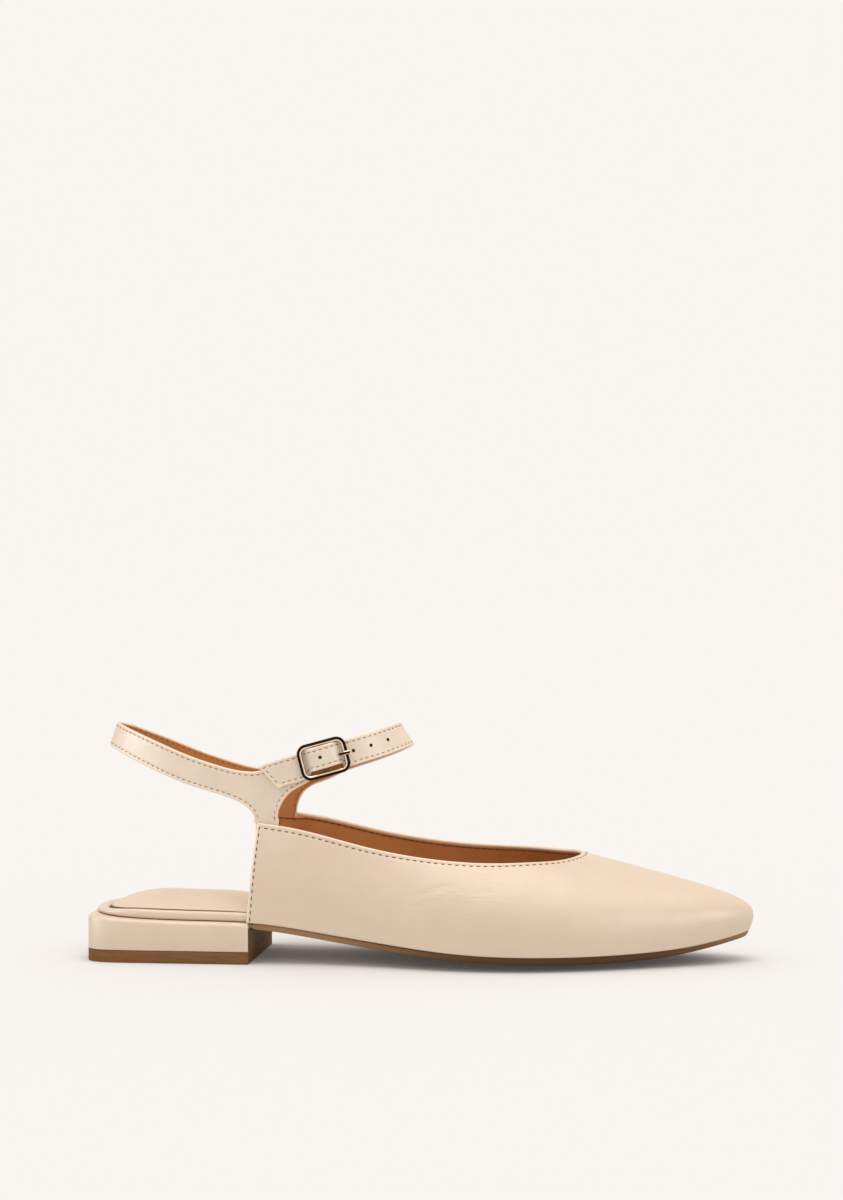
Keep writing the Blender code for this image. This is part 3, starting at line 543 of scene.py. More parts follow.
def levels(lengths, count):
    """Distances from one edge to the other of strips with these widths: close at both edges."""
    lengths = np.asarray(lengths)[:, None]
    low = np.tile(EDGE_STEPS, (len(lengths), 1))
    high = lengths - low[:, ::-1]
    shares = np.linspace(0, 1, count + 2)[1:-1]
    return np.hstack([low, low[:, -1:] + (high[:, :1] - low[:, -1:]) * shares, high])


def upper_grid(stations, count):
    """The outer face of the upper as a grid of points, from the outer back edge round the toe."""
    q = np.linspace(-1, 1, stations + 1)
    reach = np.where(q < 0, TOE_PLACE, END_PLACE - TOE_PLACE)
    place = TOE_PLACE + np.sign(q) * np.abs(q) ** TOE_CROWDING * reach
    inside = place[(place > EDGE_CLEARANCE) & (place < END_PLACE - EDGE_CLEARANCE)]
    place = np.concatenate([EDGE_STEPS, inside, END_PLACE - np.array(EDGE_STEPS[::-1])])
    at = {name: LAST[name](place) for name in Section._fields}
    plan = np.column_stack([at["feather_x"], at["feather_y"]])
    ahead_x, ahead_y = LAST["feather_x"](place + GAP), LAST["feather_y"](place + GAP)
    along = unit(np.column_stack([ahead_x, ahead_y]) - plan)
    out = np.column_stack([along[:, 1], -along[:, 0]])
    feather = np.column_stack([plan, seat_edge(plan[:, 0]) + GAP])
    collar = np.column_stack([at["collar_x"], at["collar_y"], at["collar_z"]])
    shoulder = feather + np.column_stack([out * at["shoulder_out"][:, None], at["shoulder_up"]])
    shoulder[:, 0] += at["shoulder_on"]
    full = at["fullness"][:, None]
    controls = [feather, feather + (shoulder - feather) * full, shoulder,
                collar + (shoulder - collar) * full, collar]

    def points(t):
        weights = [math.comb(4, k) * t**k * (1 - t) ** (4 - k) for k in range(5)]
        return sum(c[:, None, :] * w[..., None] for c, w in zip(controls, weights))

    samples = np.linspace(0, 1, WALL_SAMPLES)
    lines = points(np.tile(samples, (len(place), 1)))
    lengths = [running_length(line) for line in lines]
    rows = levels([length[-1] for length in lengths], count)
    return points(np.array([np.interp(row, length, samples) for row, length in zip(rows, lengths)]))


def side_outline(side, back_x=HEEL_BACK_X, squareness=HEEL_SQUARENESS):
    """Half of the shoe's outline in plan, from the middle of the heel's back to the tip of the toe."""
    half = HEEL_OUTER if side < 0 else HEEL_INNER
    turn = np.linspace(math.pi / 2, 0, HEEL_CURVE_POINTS)
    power = 2 / squareness
    back = np.column_stack([
        HEEL_CURVE_X - (HEEL_CURVE_X - back_x) * np.sin(turn) ** power,
        side * half * np.cos(turn) ** power,
    ])
    end = 0.0 if side < 0 else END_PLACE
    place = np.linspace(end, TOE_PLACE, SIDE_POINTS)
    front = np.column_stack([LAST["feather_x"](place), LAST["feather_y"](place)])
    return np.vstack([back, front])


def inset_outline(line, side, inset, shares):
    """Points of one side's outline, moved in by inset, which may be a function of x."""
    line = at_lengths(line, shares)
    inward = side * outline_normals(line)
    distance = inset(line[:, 0]) if callable(inset) else np.full(len(line), inset)
    return line + inward * distance[:, None]


def behind(line, x):
    """The part of an outline that is behind x, ending just there."""
    kept = line[line[:, 0] < x]
    return np.vstack([kept, [x, np.interp(x, line[:, 0], line[:, 1])]])


def ahead(line, x):
    """The part of an outline that is in front of x, starting just there."""
    kept = line[line[:, 0] > x]
    return np.vstack([[x, np.interp(x, line[:, 0], line[:, 1])], kept])


SIDES = (-1, 1)
HEEL_LINES = {side: side_outline(side) for side in SIDES}
SEAT_LINES = {
    -1: side_outline(-1, SEAT_BACK_X, SEAT_OUTER_SQUARENESS),
    1: side_outline(1, SEAT_BACK_X, SEAT_INNER_SQUARENESS),
}


def seat_height(x, y):
    """The seat's height at a point in plan."""
    low, high = (np.interp(x, *HEEL_LINES[side].T) for side in SIDES)
    middle, half = (low + high) / 2, np.maximum((high - low) / 2, WALL)
    across = np.clip((y - middle) / half, -1, 1)
    return seat_edge(x) - seat_camber(x) * (1 - across**2)


# Materials
class Look:
    """A material, and the nodes that its shader reads."""

    def __init__(self, name):
        self.material = bpy.data.materials.new(name)
        self.material.use_nodes = True
        self.tree = self.material.node_tree
        self.shader = self.tree.nodes["Principled BSDF"]

    def feed(self, node, inputs):
        """Sets inputs of a node to values, or links them to the outputs of other nodes."""
        for name, value in inputs.items():
            if isinstance(value, bpy.types.NodeSocket):
                self.tree.links.new(value, node.inputs[name])
            else:
                node.inputs[name].default_value = value

    def node(self, kind, output, inputs, **settings):
        """One output of a new node with these inputs and settings."""
        node = self.tree.nodes.new("ShaderNode" + kind)
        for name, value in settings.items():
            setattr(node, name, value)
        self.feed(node, inputs)
        return node.outputs[output]

    def noise(self, scale, detail=3.0, stretch=(1.0, 1.0, 1.0), turn=(0.0, 0.0, 0.0), distortion=0.0):
        """Noise in the object's own metres, about 1 / scale wide."""
        place = self.node("TexCoord", "Object", {})
        place = self.node("Mapping", "Vector", {"Vector": place, "Rotation": turn, "Scale": stretch})
        inputs = {"Vector": place, "Scale": scale, "Detail": detail, "Distortion": distortion}
        return self.node("TexNoise", "Fac", inputs)

    def wrinkles(self, scale, detail):
        """Fine wrinkles that run forward and a little up, as deep as a point's flex attribute says."""
        folds = self.noise(scale, detail, WRINKLE_STRETCH, WRINKLE_TURN, WRINKLE_DISTORTION)
        return self.node("Math", "Value", {0: folds, 1: self.attribute("flex")}, operation="MULTIPLY")

    def cells(self, scale, detail):
        """Small round cells in the object's own metres, for pores and pebbled grain."""
        inputs = {"Vector": self.node("TexCoord", "Object", {}), "Scale": scale, "Detail": detail}
        return self.node("TexVoronoi", "Distance", inputs, feature="SMOOTH_F1")

    def attribute(self, name):
        """A value that a mesh keeps at its points."""
        return self.node("Attribute", "Fac", {}, attribute_name=name)

    def ramp(self, value, stops):
        """Colours from a value: each stop is a position and a colour."""
        node = self.tree.nodes.new("ShaderNodeValToRGB")
        elements = node.color_ramp.elements
        elements[0].position = stops[0][0]
        elements[1].position = stops[-1][0]
        for position, _ in stops[1:-1]:
            elements.new(position)
        for element, (_, colour) in zip(elements, stops):
            element.color = (*colour, 1.0)
        self.feed(node, {"Fac": value})
        return node.outputs["Color"]

    def spread(self, value, low, high):
        """The middle half of a value's range, spread from low to high."""
        inputs = {"Value": value, "From Min": 0.25, "From Max": 0.75, "To Min": low, "To Max": high}
        return self.node("MapRange", "Result", inputs)

    def painted_over(self, share, colour, paint):
        """A colour with a plain paint over it, as far as share says."""
        node = self.tree.nodes.new("ShaderNodeMix")
        node.data_type = "RGBA"
        sockets = {socket.identifier: socket for socket in (*node.inputs, *node.outputs)}
        self.tree.links.new(share, sockets["Factor_Float"])
        self.tree.links.new(colour, sockets["A_Color"])
        sockets["B_Color"].default_value = (*paint, 1.0)
        return sockets["Result_Color"]

    def bumps(self, heights):
        """Bump nodes one over the other: each height has a depth in metres and a strength."""
        normal = {}
        for height, depth, strength in heights:
            inputs = {"Height": height, "Distance": depth, "Strength": strength, **normal}
            normal = {"Normal": self.node("Bump", "Normal", inputs)}
        self.feed(self.shader, normal)

    def relief(self, rows):
        """Bumps of the patterns in a table."""
        make = {"noise": self.noise, "wrinkles": self.wrinkles, "cells": self.cells}
        self.bumps([(make[row.pattern](row.scale, row.detail), row.depth, row.strength) for row in rows])


def leather_material(row):
    """Smooth leather with another colour along its edges, as far as a point's edge attribute says. That
    colour is a painted highlight on the smooth and strap leather and a painted groove shadow on the seat
    leather.
    """
    look = Look(row.name)
    colour = look.ramp(look.noise(BLOTCHES), [(0.25, row.deep), (0.50, row.middle), (0.75, row.pale)])
    look.feed(look.shader, {
        "Base Color": look.painted_over(look.attribute("edge"), colour, row.edge),
        "Roughness": look.spread(look.noise(GLOSS_SPOTS), row.rough_low, row.rough_high),
        "Specular IOR Level": row.specular,
    })
    look.relief(LEATHER_RELIEF)
    return look.material


def sole_material(name, deep, brown):
    """Matt rubber with a painted shade over it, as far as a point's edge attribute says."""
    look = Look(name)
    layers = look.noise(SOLE_LAYERS, detail=4.0, stretch=SOLE_LAYER_STRETCH)
    colour = look.ramp(layers, [(0.28, deep), (0.70, brown)])
    look.feed(look.shader, {
        "Base Color": look.painted_over(look.attribute("edge"), colour, SOLE_FLOOR_SHADE),
        "Roughness": look.spread(look.noise(SOLE_SPOTS), 0.48, 0.68),
        "Specular IOR Level": 0.03,
    })
    look.relief(SOLE_RELIEF)
    return look.material


def thread_material(name, thread):
    look = Look(name)
    strands = look.noise(THREAD_STRANDS, detail=2.0)
    shaded = tuple(THREAD_SHADE * c for c in thread)
    look.feed(look.shader, {
        "Base Color": look.ramp(strands, [(0.30, shaded), (0.70, thread)]),
        "Roughness": 0.75,
        "Specular IOR Level": 0.10,
    })
    look.bumps([(strands, *STRAND_RELIEF)])
    return look.material


def metal_material():
    """Polished pale gold with painted dark reflection and shade along its rims, as far as a point's rim
    attribute says.
    """
    look = Look("polished_gold")
    rim = look.attribute("rim")
    scratches = look.noise(SCRATCHES, detail=2.0, stretch=SCRATCH_STRETCH)
    look.feed(look.shader, {
        "Base Color": look.ramp(rim, [(0.35, GOLD), (0.65, DARK_REFLECTION_AND_SHADE)]),
        "Metallic": look.spread(rim, 1.0, 0.0),
        "Specular IOR Level": 0.05,
        "Roughness": look.spread(scratches, 0.14, 0.26),
    })
    look.bumps([(scratches, *SCRATCH_RELIEF)])
    return look.material


# Painted shade for the walls of the holes
def hole_shade_material():
    look = Look("hole_painted_shade")
    fibres = look.noise(CUT_FIBRES)
    look.feed(look.shader, {
        "Base Color": look.ramp(fibres, [(0.30, HOLE_SHADE_DARK), (0.70, HOLE_SHADE_BROWN)]),
        "Roughness": 0.8,
    })
    look.bumps([(fibres, *FIBRE_RELIEF)])
    return look.material


# Meshes
sheen_pieces = bpy.data.collections.new("sheen_pieces")


def add_piece(name, mesh, material, slot, *nodes):
    """A piece of the shoe that stands for these nodes of the part, if any."""
    obj = bpy.data.objects.new(name, mesh)
    obj.location = FRAME_SHIFT
    bpy.context.scene.collection.objects.link(obj)
    mesh.materials.append(material)
    mesh.shade_smooth()
    mesh.set_sharp_from_angle(angle=SHARP_ANGLE)
    if slot == "beige_leather":
        sheen_pieces.objects.link(obj)
    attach(obj, "root")
    if nodes:
        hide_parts(*nodes)
    return obj


def face_mesh(name, points, faces, **values):
    """A mesh from points and faces, with values at its points and without unused points."""
    mesh = bpy.data.meshes.new(name)
    mesh.from_pydata([tuple(p) for p in points], [], faces)
    for key, value in values.items():
        layer = mesh.attributes.new(key, "FLOAT", "POINT")
        layer.data.foreach_set("value", np.asarray(value, np.float32).reshape(-1))
    bm = bmesh.new()
    bm.from_mesh(mesh)
    bmesh.ops.delete(bm, geom=[v for v in bm.verts if not v.link_faces], context="VERTS")
    bmesh.ops.recalc_face_normals(bm, faces=bm.faces)
    if bm.calc_volume(signed=True) < 0:
        bmesh.ops.reverse_faces(bm, faces=bm.faces)
    bm.to_mesh(mesh)
    bm.free()
    return mesh


def tube_faces(count, sides, start=0, cyclic=False):
    """Faces from ring to ring of a tube whose points begin at start, and back to the first if cyclic."""
    faces = []
    for ring in range(count if cyclic else count - 1):
        one, two = start + ring * sides, start + (ring + 1) % count * sides
        for i in range(sides):
            j = (i + 1) % sides
            faces.append((one + i, one + j, two + j, two + i))
    return faces


def end_faces(count, sides, start=0):
    """One face on the first ring of a tube and one on the last."""
    last = start + (count - 1) * sides
    return [tuple(range(start, start + sides)), tuple(range(last, last + sides))]


def strip_faces(sides, start):
    """A strip of faces from one half of a ring to the other half."""
    middle, last = sides // 2, start + sides - 1
    faces = [(start + i, start + i + 1, last - 1 - i, last - i) for i in range(middle - 1)]
    return faces + [(start + middle - 1, start + middle, start + middle + 1)]


def loft(name, rings, strips=False):
    """A closed mesh through rings of points, capped on the first and the last ring.

    With strips each cap is a strip of faces from one half of its ring to the other half.
    """
    count, sides = len(rings), len(rings[0])
    faces = tube_faces(count, sides)
    if strips:
        faces += strip_faces(sides, 0) + strip_faces(sides, (count - 1) * sides)
    else:
        faces += end_faces(count, sides)
    return face_mesh(name, np.vstack(rings), faces)


def distance_to(points, lines):
    """The distance from each point to the nearest of some lines of points."""
    start = np.vstack([line[:-1] for line in lines])
    along = np.vstack([np.diff(line, axis=0) for line in lines])
    square = np.maximum((along**2).sum(1), LEAST_SQUARE)
    nearest = np.empty(len(points))
    for block in np.array_split(np.arange(len(points)), len(points) // POINTS_AT_ONCE + 1):
        away = points[block, None] - start
        share = np.clip((away * along).sum(2) / square, 0, 1)
        nearest[block] = np.linalg.norm(away - share[..., None] * along, axis=2).min(1)
    return nearest


def grid_distance(grid, borders):
    return distance_to(grid.reshape(-1, 3), borders).reshape(grid.shape[:2])


def all_borders(grid):
    return [grid[:, 0], grid[:, -1], grid[0], grid[-1]]


def grid_normals(grid):
    """Unit normals of a grid, along its first direction times its second."""
    return unit(np.cross(np.gradient(grid, axis=0), np.gradient(grid, axis=1)))


def parted(share):
    """The shares with a least share wherever front and back would meet inside a piece."""
    share = np.where(share > LEAST_SHARE, share, 0.0)
    meeting = True
    while np.any(meeting):
        kept = np.maximum.reduce([share[:-1, :-1], share[1:, :-1], share[:-1, 1:], share[1:, 1:]]) > 0
        along = (share[:-1, 1:-1] + share[1:, 1:-1] == 0) & kept[:, :-1] & kept[:, 1:]
        across = (share[1:-1, :-1] + share[1:-1, 1:] == 0) & kept[:-1] & kept[1:]
        meeting = np.zeros(share.shape, bool)
        meeting[:-1, 1:-1] |= along
        meeting[1:, 1:-1] |= along
        meeting[1:-1, :-1] |= across
        meeting[1:-1, 1:] |= across
        share = np.where(meeting, LEAST_SHARE, share)
    return share


def cell_faces(i, j, share):
    """The corners of a grid's cell, as two triangles if two opposite corners lie at the seam."""
    one, two, three, four = (i, j), (i + 1, j), (i + 1, j + 1), (i, j + 1)
    if share[one] + share[three] == 0:
        return (two, three, four), (two, four, one)
    if share[two] + share[four] == 0:
        return (one, two, three), (one, three, four)
    return ((one, two, three, four),)


def pillow(name, grid, normals, front, back, seam, rounding, inset=0.0, relief=0.0, edge=0.0, flex=0.0):
    """A closed piece round a grid: its front and its back lie that far along the normals.

    They come together at the level of the seam, at that inset from the grid's border, over a rounding.
    The edge values say where the colour of the edge shows, the flex values where the leather wrinkles.
    """
    depth = grid_distance(grid, all_borders(grid)) - inset
    share = parted(np.sqrt(1 - (1 - np.clip(depth / rounding, 0, 1)) ** 2))
    upper = grid + normals * (seam + (front - seam) * share + relief * share)[..., None]
    lower = grid + normals * (seam + (back - seam) * share)[..., None]
    count = share.size
    top = np.arange(count).reshape(share.shape)
    bottom = np.where(share > 0, top + count, top)
    faces = []
    for i in range(share.shape[0] - 1):
        for j in range(share.shape[1] - 1):
            if share[i : i + 2, j : j + 2].max() > 0:
                for corners in cell_faces(i, j, share):
                    faces.append([int(top[c]) for c in corners])
                    faces.append([int(bottom[c]) for c in corners[::-1]])
    edge, flex = (np.tile(np.broadcast_to(value, share.shape).reshape(-1), 2) for value in (edge, flex))
    points = np.vstack([upper.reshape(-1, 3), lower.reshape(-1, 3)])
    return face_mesh(name, points, faces, edge=edge, flex=flex), upper


def folded(depth):
    """A folded edge that stands a little proud."""
    return FOLD_PUFF * (1 - smooth_step(depth, FOLD_FULL_SHARE * FOLD_WIDTH, FOLD_WIDTH))


def beside_thread(distance):
    """One on a row of stitches, and less with the distance from it."""
    return np.exp(-((distance / GROOVE_WIDTH) ** 2))


def edge_highlight(depth):
    """How far the painted highlight of a folded edge shows at a distance from it."""
    return 1 - smooth_step(depth, EDGE_HIGHLIGHT_FULL_SHARE * EDGE_HIGHLIGHT_WIDTH, EDGE_HIGHLIGHT_WIDTH)


def crease_relief(grid):
    """The creases of the table, as heights over the grid."""
    relief = np.zeros(grid.shape[:2])
    for crease in CREASES:
        slope = math.radians(crease.slope_deg)
        x, z = grid[..., 0] - crease.x, grid[..., 2] - crease.z
        along = x * math.cos(slope) + z * math.sin(slope)
        across = z * math.cos(slope) - x * math.sin(slope)
        window = np.clip(1 - (along / crease.half_length) ** 2, 0, 1) ** 2
        trough = crease.depth * np.exp(-((across / crease.half_width) ** 2)) * window
        relief -= np.where(crease.side * grid[..., 1] > 0, trough, 0.0)
    return relief


def flexed(grid):
    """How much the leather wrinkles: most at the bend in front of the waist, none at the toe."""
    along = (grid[..., 0] - FLEX_X) / FLEX_HALF_LENGTH
    up = (grid[..., 2] - FLEX_Z) / FLEX_HALF_HEIGHT
    return np.exp(-(along**2) - up**2)


# Stitches
def stitch_points(middle, along, out, length, radius):
    """The rings of one stitch, which dives into the leather at both ends."""
    side = np.cross(out, along)
    turn = np.linspace(0, 2 * math.pi, STITCH_SIDES, endpoint=False)
    ring = np.cos(turn)[:, None] * side + np.sin(turn)[:, None] * out
    rings = []
    for row in STITCH_RINGS:
        centre = middle + along * row.place * length + out * row.height * radius
        rings.append(centre + ring * row.thickness * radius)
    return np.vstack(rings)


def stitch_mesh(name, rows, pitch, radius):
    """One mesh of all the stitches along rows, each of which is a line of points and its normals."""
    points, faces = [], []
    size = len(STITCH_RINGS), STITCH_SIDES
    for line, normals in rows:
        lengths = running_length(line)
        for place in np.arange(pitch / 2, lengths[-1], pitch):
            middle, before, after = (at_length(line, lengths, place + step) for step in (0, -GAP, GAP))
            along = unit(after - before)
            out = at_length(normals, lengths, place)
            out = unit(out - along * out.dot(along))
            start = len(points) * size[0] * size[1]
            points.append(stitch_points(middle, along, out, STITCH_SHARE * pitch, radius))
            faces += tube_faces(*size, start) + end_faces(*size, start)
    return face_mesh(name, np.vstack(points), faces)


# Upper
def sewn_path(grid):
    """The line of stitches up the outer back edge, along the collar and down the inner back edge."""
    up, down = grid[BACK_ROW, 2 : -1 - COLLAR_ROW], grid[-1 - BACK_ROW, 2 : -1 - COLLAR_ROW]
    return np.vstack([up, grid[BACK_ROW:-BACK_ROW, -1 - COLLAR_ROW], down[::-1]])


def make_upper(leather, lining, thread):
    grid = upper_grid(UPPER_STATIONS, UPPER_ROWS)
    normals = grid_normals(grid)
    sewn = grid_distance(grid, [grid[:, -1], grid[0], grid[-1]])
    sewn_in = beside_thread(grid_distance(grid, [sewn_path(grid)]))
    relief = folded(sewn) - GROOVE_DEPTH * sewn_in + crease_relief(grid)
    half = UPPER_LEATHER / 2
    mesh, outside = pillow("upper_leather", grid, normals, 0.0, -UPPER_LEATHER, -half, half,
                           relief=relief, edge=edge_highlight(sewn), flex=flexed(grid))
    add_piece("upper_leather", mesh, leather, "beige_leather", "upper")

    beside, height = np.abs(grid[..., 0] - TAB_MIDDLE_X), grid[..., 2]
    over_tab = (1 - smooth_step(beside, *TAB_COVER_BESIDE)) * smooth_step(height, *TAB_COVER_Z)
    level, inside = -UPPER_LEATHER + GAP / 2, -WALL - TAB_COVER * over_tab
    mesh, _ = pillow("upper_lining", grid[::2], normals[::2], level, inside[::2], level,
                     WALL - UPPER_LEATHER, inset=LINING_INSET, edge=sewn_in[::2])
    add_piece("upper_lining", mesh, lining, "tan_lining")

    inner = grid + normals * inside[..., None]
    rows = [(sewn_path(outside), sewn_path(grid_normals(outside))),
            (sewn_path(inner), -sewn_path(normals))]
    mesh = stitch_mesh("upper_stitches", rows, COLLAR_PITCH, COLLAR_THREAD_RADIUS)
    add_piece("upper_stitches", mesh, thread, "stitching")


# Sole, heel and insole
def between(one, two, share):
    """A value that far on the way from one to two."""
    return one + (two - one) * share


def plan_grid(lines, inset, shares, count):
    """A grid in plan, at height zero, between the outlines of both sides, moved in by inset."""
    outer, inner = (inset_outline(lines[side], side, inset, shares) for side in SIDES)
    rows = levels(np.linalg.norm(inner - outer, axis=1), count)
    plan = outer[:, None, :] + unit(inner - outer)[:, None, :] * rows[..., None]
    return np.dstack([plan, np.zeros(plan.shape[:2])])


def round_back(lines, inset, end_x, count):
    """The outline from end_x on the outer side round the back to the inner side, moved in by inset."""
    shares = np.linspace(0, 1, OUTLINE_POINTS)
    sides = [inset_outline(lines[side], side, inset, shares) for side in SIDES]
    outer, inner = (at_lengths(behind(line, end_x), np.linspace(0, 1, count)) for line in sides)
    return np.vstack([outer[::-1], inner[1:]])


def upright(grid):
    return np.tile((0.0, 0.0, 1.0), (*grid.shape[:2], 1))


def sole_thickness(x):
    """The sole gets thinner from the ball of the foot to the toe."""
    taper = smooth_step(x, SOLE_TAPER_X, TOE_SECTION.feather_x)
    return between(SOLE_THICKNESS, SOLE_TOE_THICKNESS, taper)


def at_ball(x):
    """Zero at the waist, one from the ball of the foot on."""
    return smooth_step(x, SOLE_WAIST_X, SOLE_BALL_X)


def sole_inset(x):
    return between(SOLE_INSET, SOLE_BALL_INSET, at_ball(x))


def make_outsole(rubber):
    shares = np.sin(np.linspace(0, math.pi / 2, SOLE_STATIONS)) * SOLE_END_SHARE
    lines = {side: ahead(HEEL_LINES[side], BREAST_X + GAP) for side in SIDES}
    grid = plan_grid(lines, sole_inset, shares, SOLE_ROWS)
    x, y = grid[..., 0], grid[..., 1]
    top = seat_height(x, y)
    bottom = np.maximum(top - sole_thickness(x), 0.0)
    ball = at_ball(x)
    depth = grid_distance(grid, all_borders(grid))
    at_toe = smooth_step(x, *SOLE_TOE_X) * (1 - smooth_step(depth, *SOLE_TOE_DEPTH))
    under_upper = top + SOLE_UNDER_UPPER + SOLE_TOE_RISE * at_toe
    level = between(under_upper, bottom, (1 - ball) / 2)
    rounding = between(SOLE_WAIST_ROUND, SOLE_BALL_ROUND, ball)
    # Painted shade where the sole's top comes close to the floor
    floor_shade = 1 - smooth_step(top, *SOLE_FLOOR_SHADE_Z)
    mesh, _ = pillow("sole", grid, upright(grid), under_upper, bottom, level, rounding, edge=floor_shade)
    add_piece("sole", mesh, rubber, "brown_sole", "outsole")


def heel_ring(inset, height):
    """The heel's outline from the breast round the back, at a height that may depend on x."""
    plan = round_back(HEEL_LINES, inset, BREAST_X, HEEL_POINTS)
    z = height(plan[:, 0]) if callable(height) else np.full(len(plan), height)
    return np.column_stack([plan, z])


def make_heel(cover, rubber):
    edge, foot = HEEL_FOOT_ROUND, LIFT_HEIGHT + HEEL_SEAM
    rings = []
    for turn in np.linspace(0, math.pi / 2, HEEL_FOOT_RINGS):
        rings.append(heel_ring(edge * (1 - math.sin(turn)), foot + edge * (1 - math.cos(turn))))
    for turn in np.linspace(0, math.pi / 2, HEEL_TOP_RINGS):
        drop = HEEL_TOP_ROUND * (1 - math.sin(turn))
        inset = HEEL_TOP_ROUND * (1 - math.cos(turn))
        rings.append(heel_ring(inset, lambda x: seat_edge(x) - drop))
    add_piece("heel_cover", loft("heel_cover", rings, strips=True), cover, "beige_leather", "heel_block")
    corner = LIFT_CORNER_SHARE * edge
    lift = [heel_ring(edge, 0.0), heel_ring(corner, corner), heel_ring(0.0, edge),
            heel_ring(0.0, LIFT_HEIGHT - edge), heel_ring(edge, LIFT_HEIGHT)]
    add_piece("heel_lift", loft("heel_lift", lift, strips=True), rubber, "brown_sole", "top_lift")

    high = float(seat_edge(BREAST_X)) - SOLE_THICKNESS - HEEL_SEAM
    rows = []
    for y in np.linspace(-HEEL_OUTER + 2 * GAP, HEEL_INNER - 2 * GAP, BREAST_COLUMNS):
        rows.append([(BREAST_X + GAP, y, z) for z in np.linspace(foot, high, BREAST_ROWS)])
    grid = np.array(rows)
    mesh, _ = pillow("breast_cover", grid, grid_normals(grid), GAP / 2, -GAP, 0.0, 2 * GAP)
    add_piece("breast_cover", mesh, rubber, "brown_sole")


def past_back(x):
    """Zero at the very back of the seat, one along its sides."""
    return smooth_step(x, SEAT_BACK_X, RIM_TURN_X)


def rim_width(x):
    return between(RIM_BACK_WIDTH, RIM_WIDTH, past_back(x))


def rim_height(x):
    return between(RIM_BACK_HEIGHT, RIM_HEIGHT, past_back(x))


def rim_inset(x):
    return RIM_INSET + rim_width(x) / 2


def squared(values):
    """Sines or cosines that stay longer near one, for a ring with squarer corners."""
    return np.sign(values) * np.abs(values) ** RIM_SQUARENESS


def make_insole_rim(leather):
    path = round_back(SEAT_LINES, rim_inset, RIM_END_X, RIM_POINTS)
    normals = outline_normals(path)
    turn = np.linspace(0, 2 * math.pi, RIM_SIDES, endpoint=False)
    side_share = squared(np.cos(turn)) / 2
    up_share = (squared(np.sin(turn)) + 1) / 2
    rings = []
    for point, normal in zip(path, normals):
        plan = point + side_share[:, None] * rim_width(point[0]) * normal
        z = seat_edge(point[0]) + GAP + up_share * rim_height(point[0])
        rings.append(np.column_stack([plan, z]))
    add_piece("insole_roll", loft("insole_roll", rings), leather, "beige_leather", "insole_rim")


def insole_inset(x):
    """Inside the rim at the heel, inside the wall of the upper in front of it."""
    fore = smooth_step(x, RIM_END_X + 2 * RIM_WIDTH, RIM_END_X + 6 * RIM_WIDTH)
    return between(RIM_INSET + rim_width(x) + GAP, WALL + GAP + GAP, fore)


def make_insole(leather):
    shares = 0.5 - 0.5 * np.cos(np.linspace(*FOOTBED_TURNS, FOOTBED_STATIONS))
    grid = plan_grid(SEAT_LINES, insole_inset, shares, FOOTBED_ROWS)
    x, y = grid[..., 0], grid[..., 1]
    half = np.maximum(np.abs(y[:, :1] - y[:, -1:]) / 2, WALL)
    across = (y - (y[:, :1] + y[:, -1:]) / 2) / half
    back = SEAT_BACK_X + RIM_INSET + RIM_BACK_WIDTH
    slope = np.clip((x - back) / SEAT_PAD_SLOPE, 0, 1)
    rise = slope * (2 - slope) * smooth_step(x, back - SEAT_PAD_LEAD, back + 2 * SEAT_PAD_LEAD)
    crown = SEAT_PAD_CROWN * (1 - np.abs(across) ** 3) * rise
    heel = 1 - smooth_step(x, SEAT_PAD_START_X, SEAT_PAD_END_X)
    thick = between(INSOLE_THICKNESS, SEAT_PAD_THICKNESS + crown, heel)
    bottom = seat_height(x, y) + GAP
    depth = grid_distance(grid, all_borders(grid))
    # seam is a painted shadow in the groove between the footbed's border and the rolled rim, narrower at
    # the very back and fading out between the breast and the rim's end
    width = FOOTBED_SHADOW_WIDTH * between(FOOTBED_SHADOW_BACK_SHARE, 1.0, past_back(x))
    seam = 1 - smooth_step(depth, FOOTBED_SHADOW_SHARPNESS * width, width)
    seam *= 1 - smooth_step(x, BREAST_X, RIM_END_X)
    mesh, _ = pillow("footbed", grid, upright(grid), bottom + thick, bottom, bottom + FOOTBED_SEAM,
                     FOOTBED_ROUND, edge=seam)
    footbed = add_piece("footbed", mesh, leather, "beige_leather", "insole")


# Straps
def sling_edges():
    """The lower and upper edges of the heel strap, from the outer arm round the back to the inner."""
    outer = [(r.x, -r.y, r.bottom, r.top, r.lean) for r in SLING_ROWS]
    inner = [(r.x, r.y, r.inner_bottom, r.inner_top, r.lean) for r in SLING_ROWS]
    x, y, low, high, lean = through_rows(np.array(outer + inner[-2::-1]), SLING_STEPS).T
    return np.column_stack([x - lean / 2, y, low]), np.column_stack([x + lean / 2, y, high])


def ankle_edges():
    """The lower and upper edges of the ankle strap, from its inner end round the front to its outer."""
    inner = [(r.x, r.y, r.z - r.inner_drop, r.tilt_deg, r.width) for r in ANKLE_ROWS]
    outer = [(r.x, -r.y, r.z, r.tilt_deg, r.width) for r in ANKLE_ROWS]
    path = through_rows(np.array(inner[::-1] + outer[1:]), ANKLE_STEPS)
    tilt, half = np.radians(path[:, 3]), path[:, 4] / 2
    lean = np.column_stack([-half * np.sin(tilt), np.zeros(len(path)), half * np.cos(tilt)])
    return path[:, :3] - lean, path[:, :3] + lean


def strap_normals(edge, width):
    """Unit normals of a strap, out of the loop that it makes."""
    return unit(np.cross(width, np.gradient(edge, axis=0)))


def strap_grid(low, high, count):
    rows = levels(np.linalg.norm(high - low, axis=1), count)
    return low[:, None, :] + unit(high - low)[:, None, :] * rows[..., None]


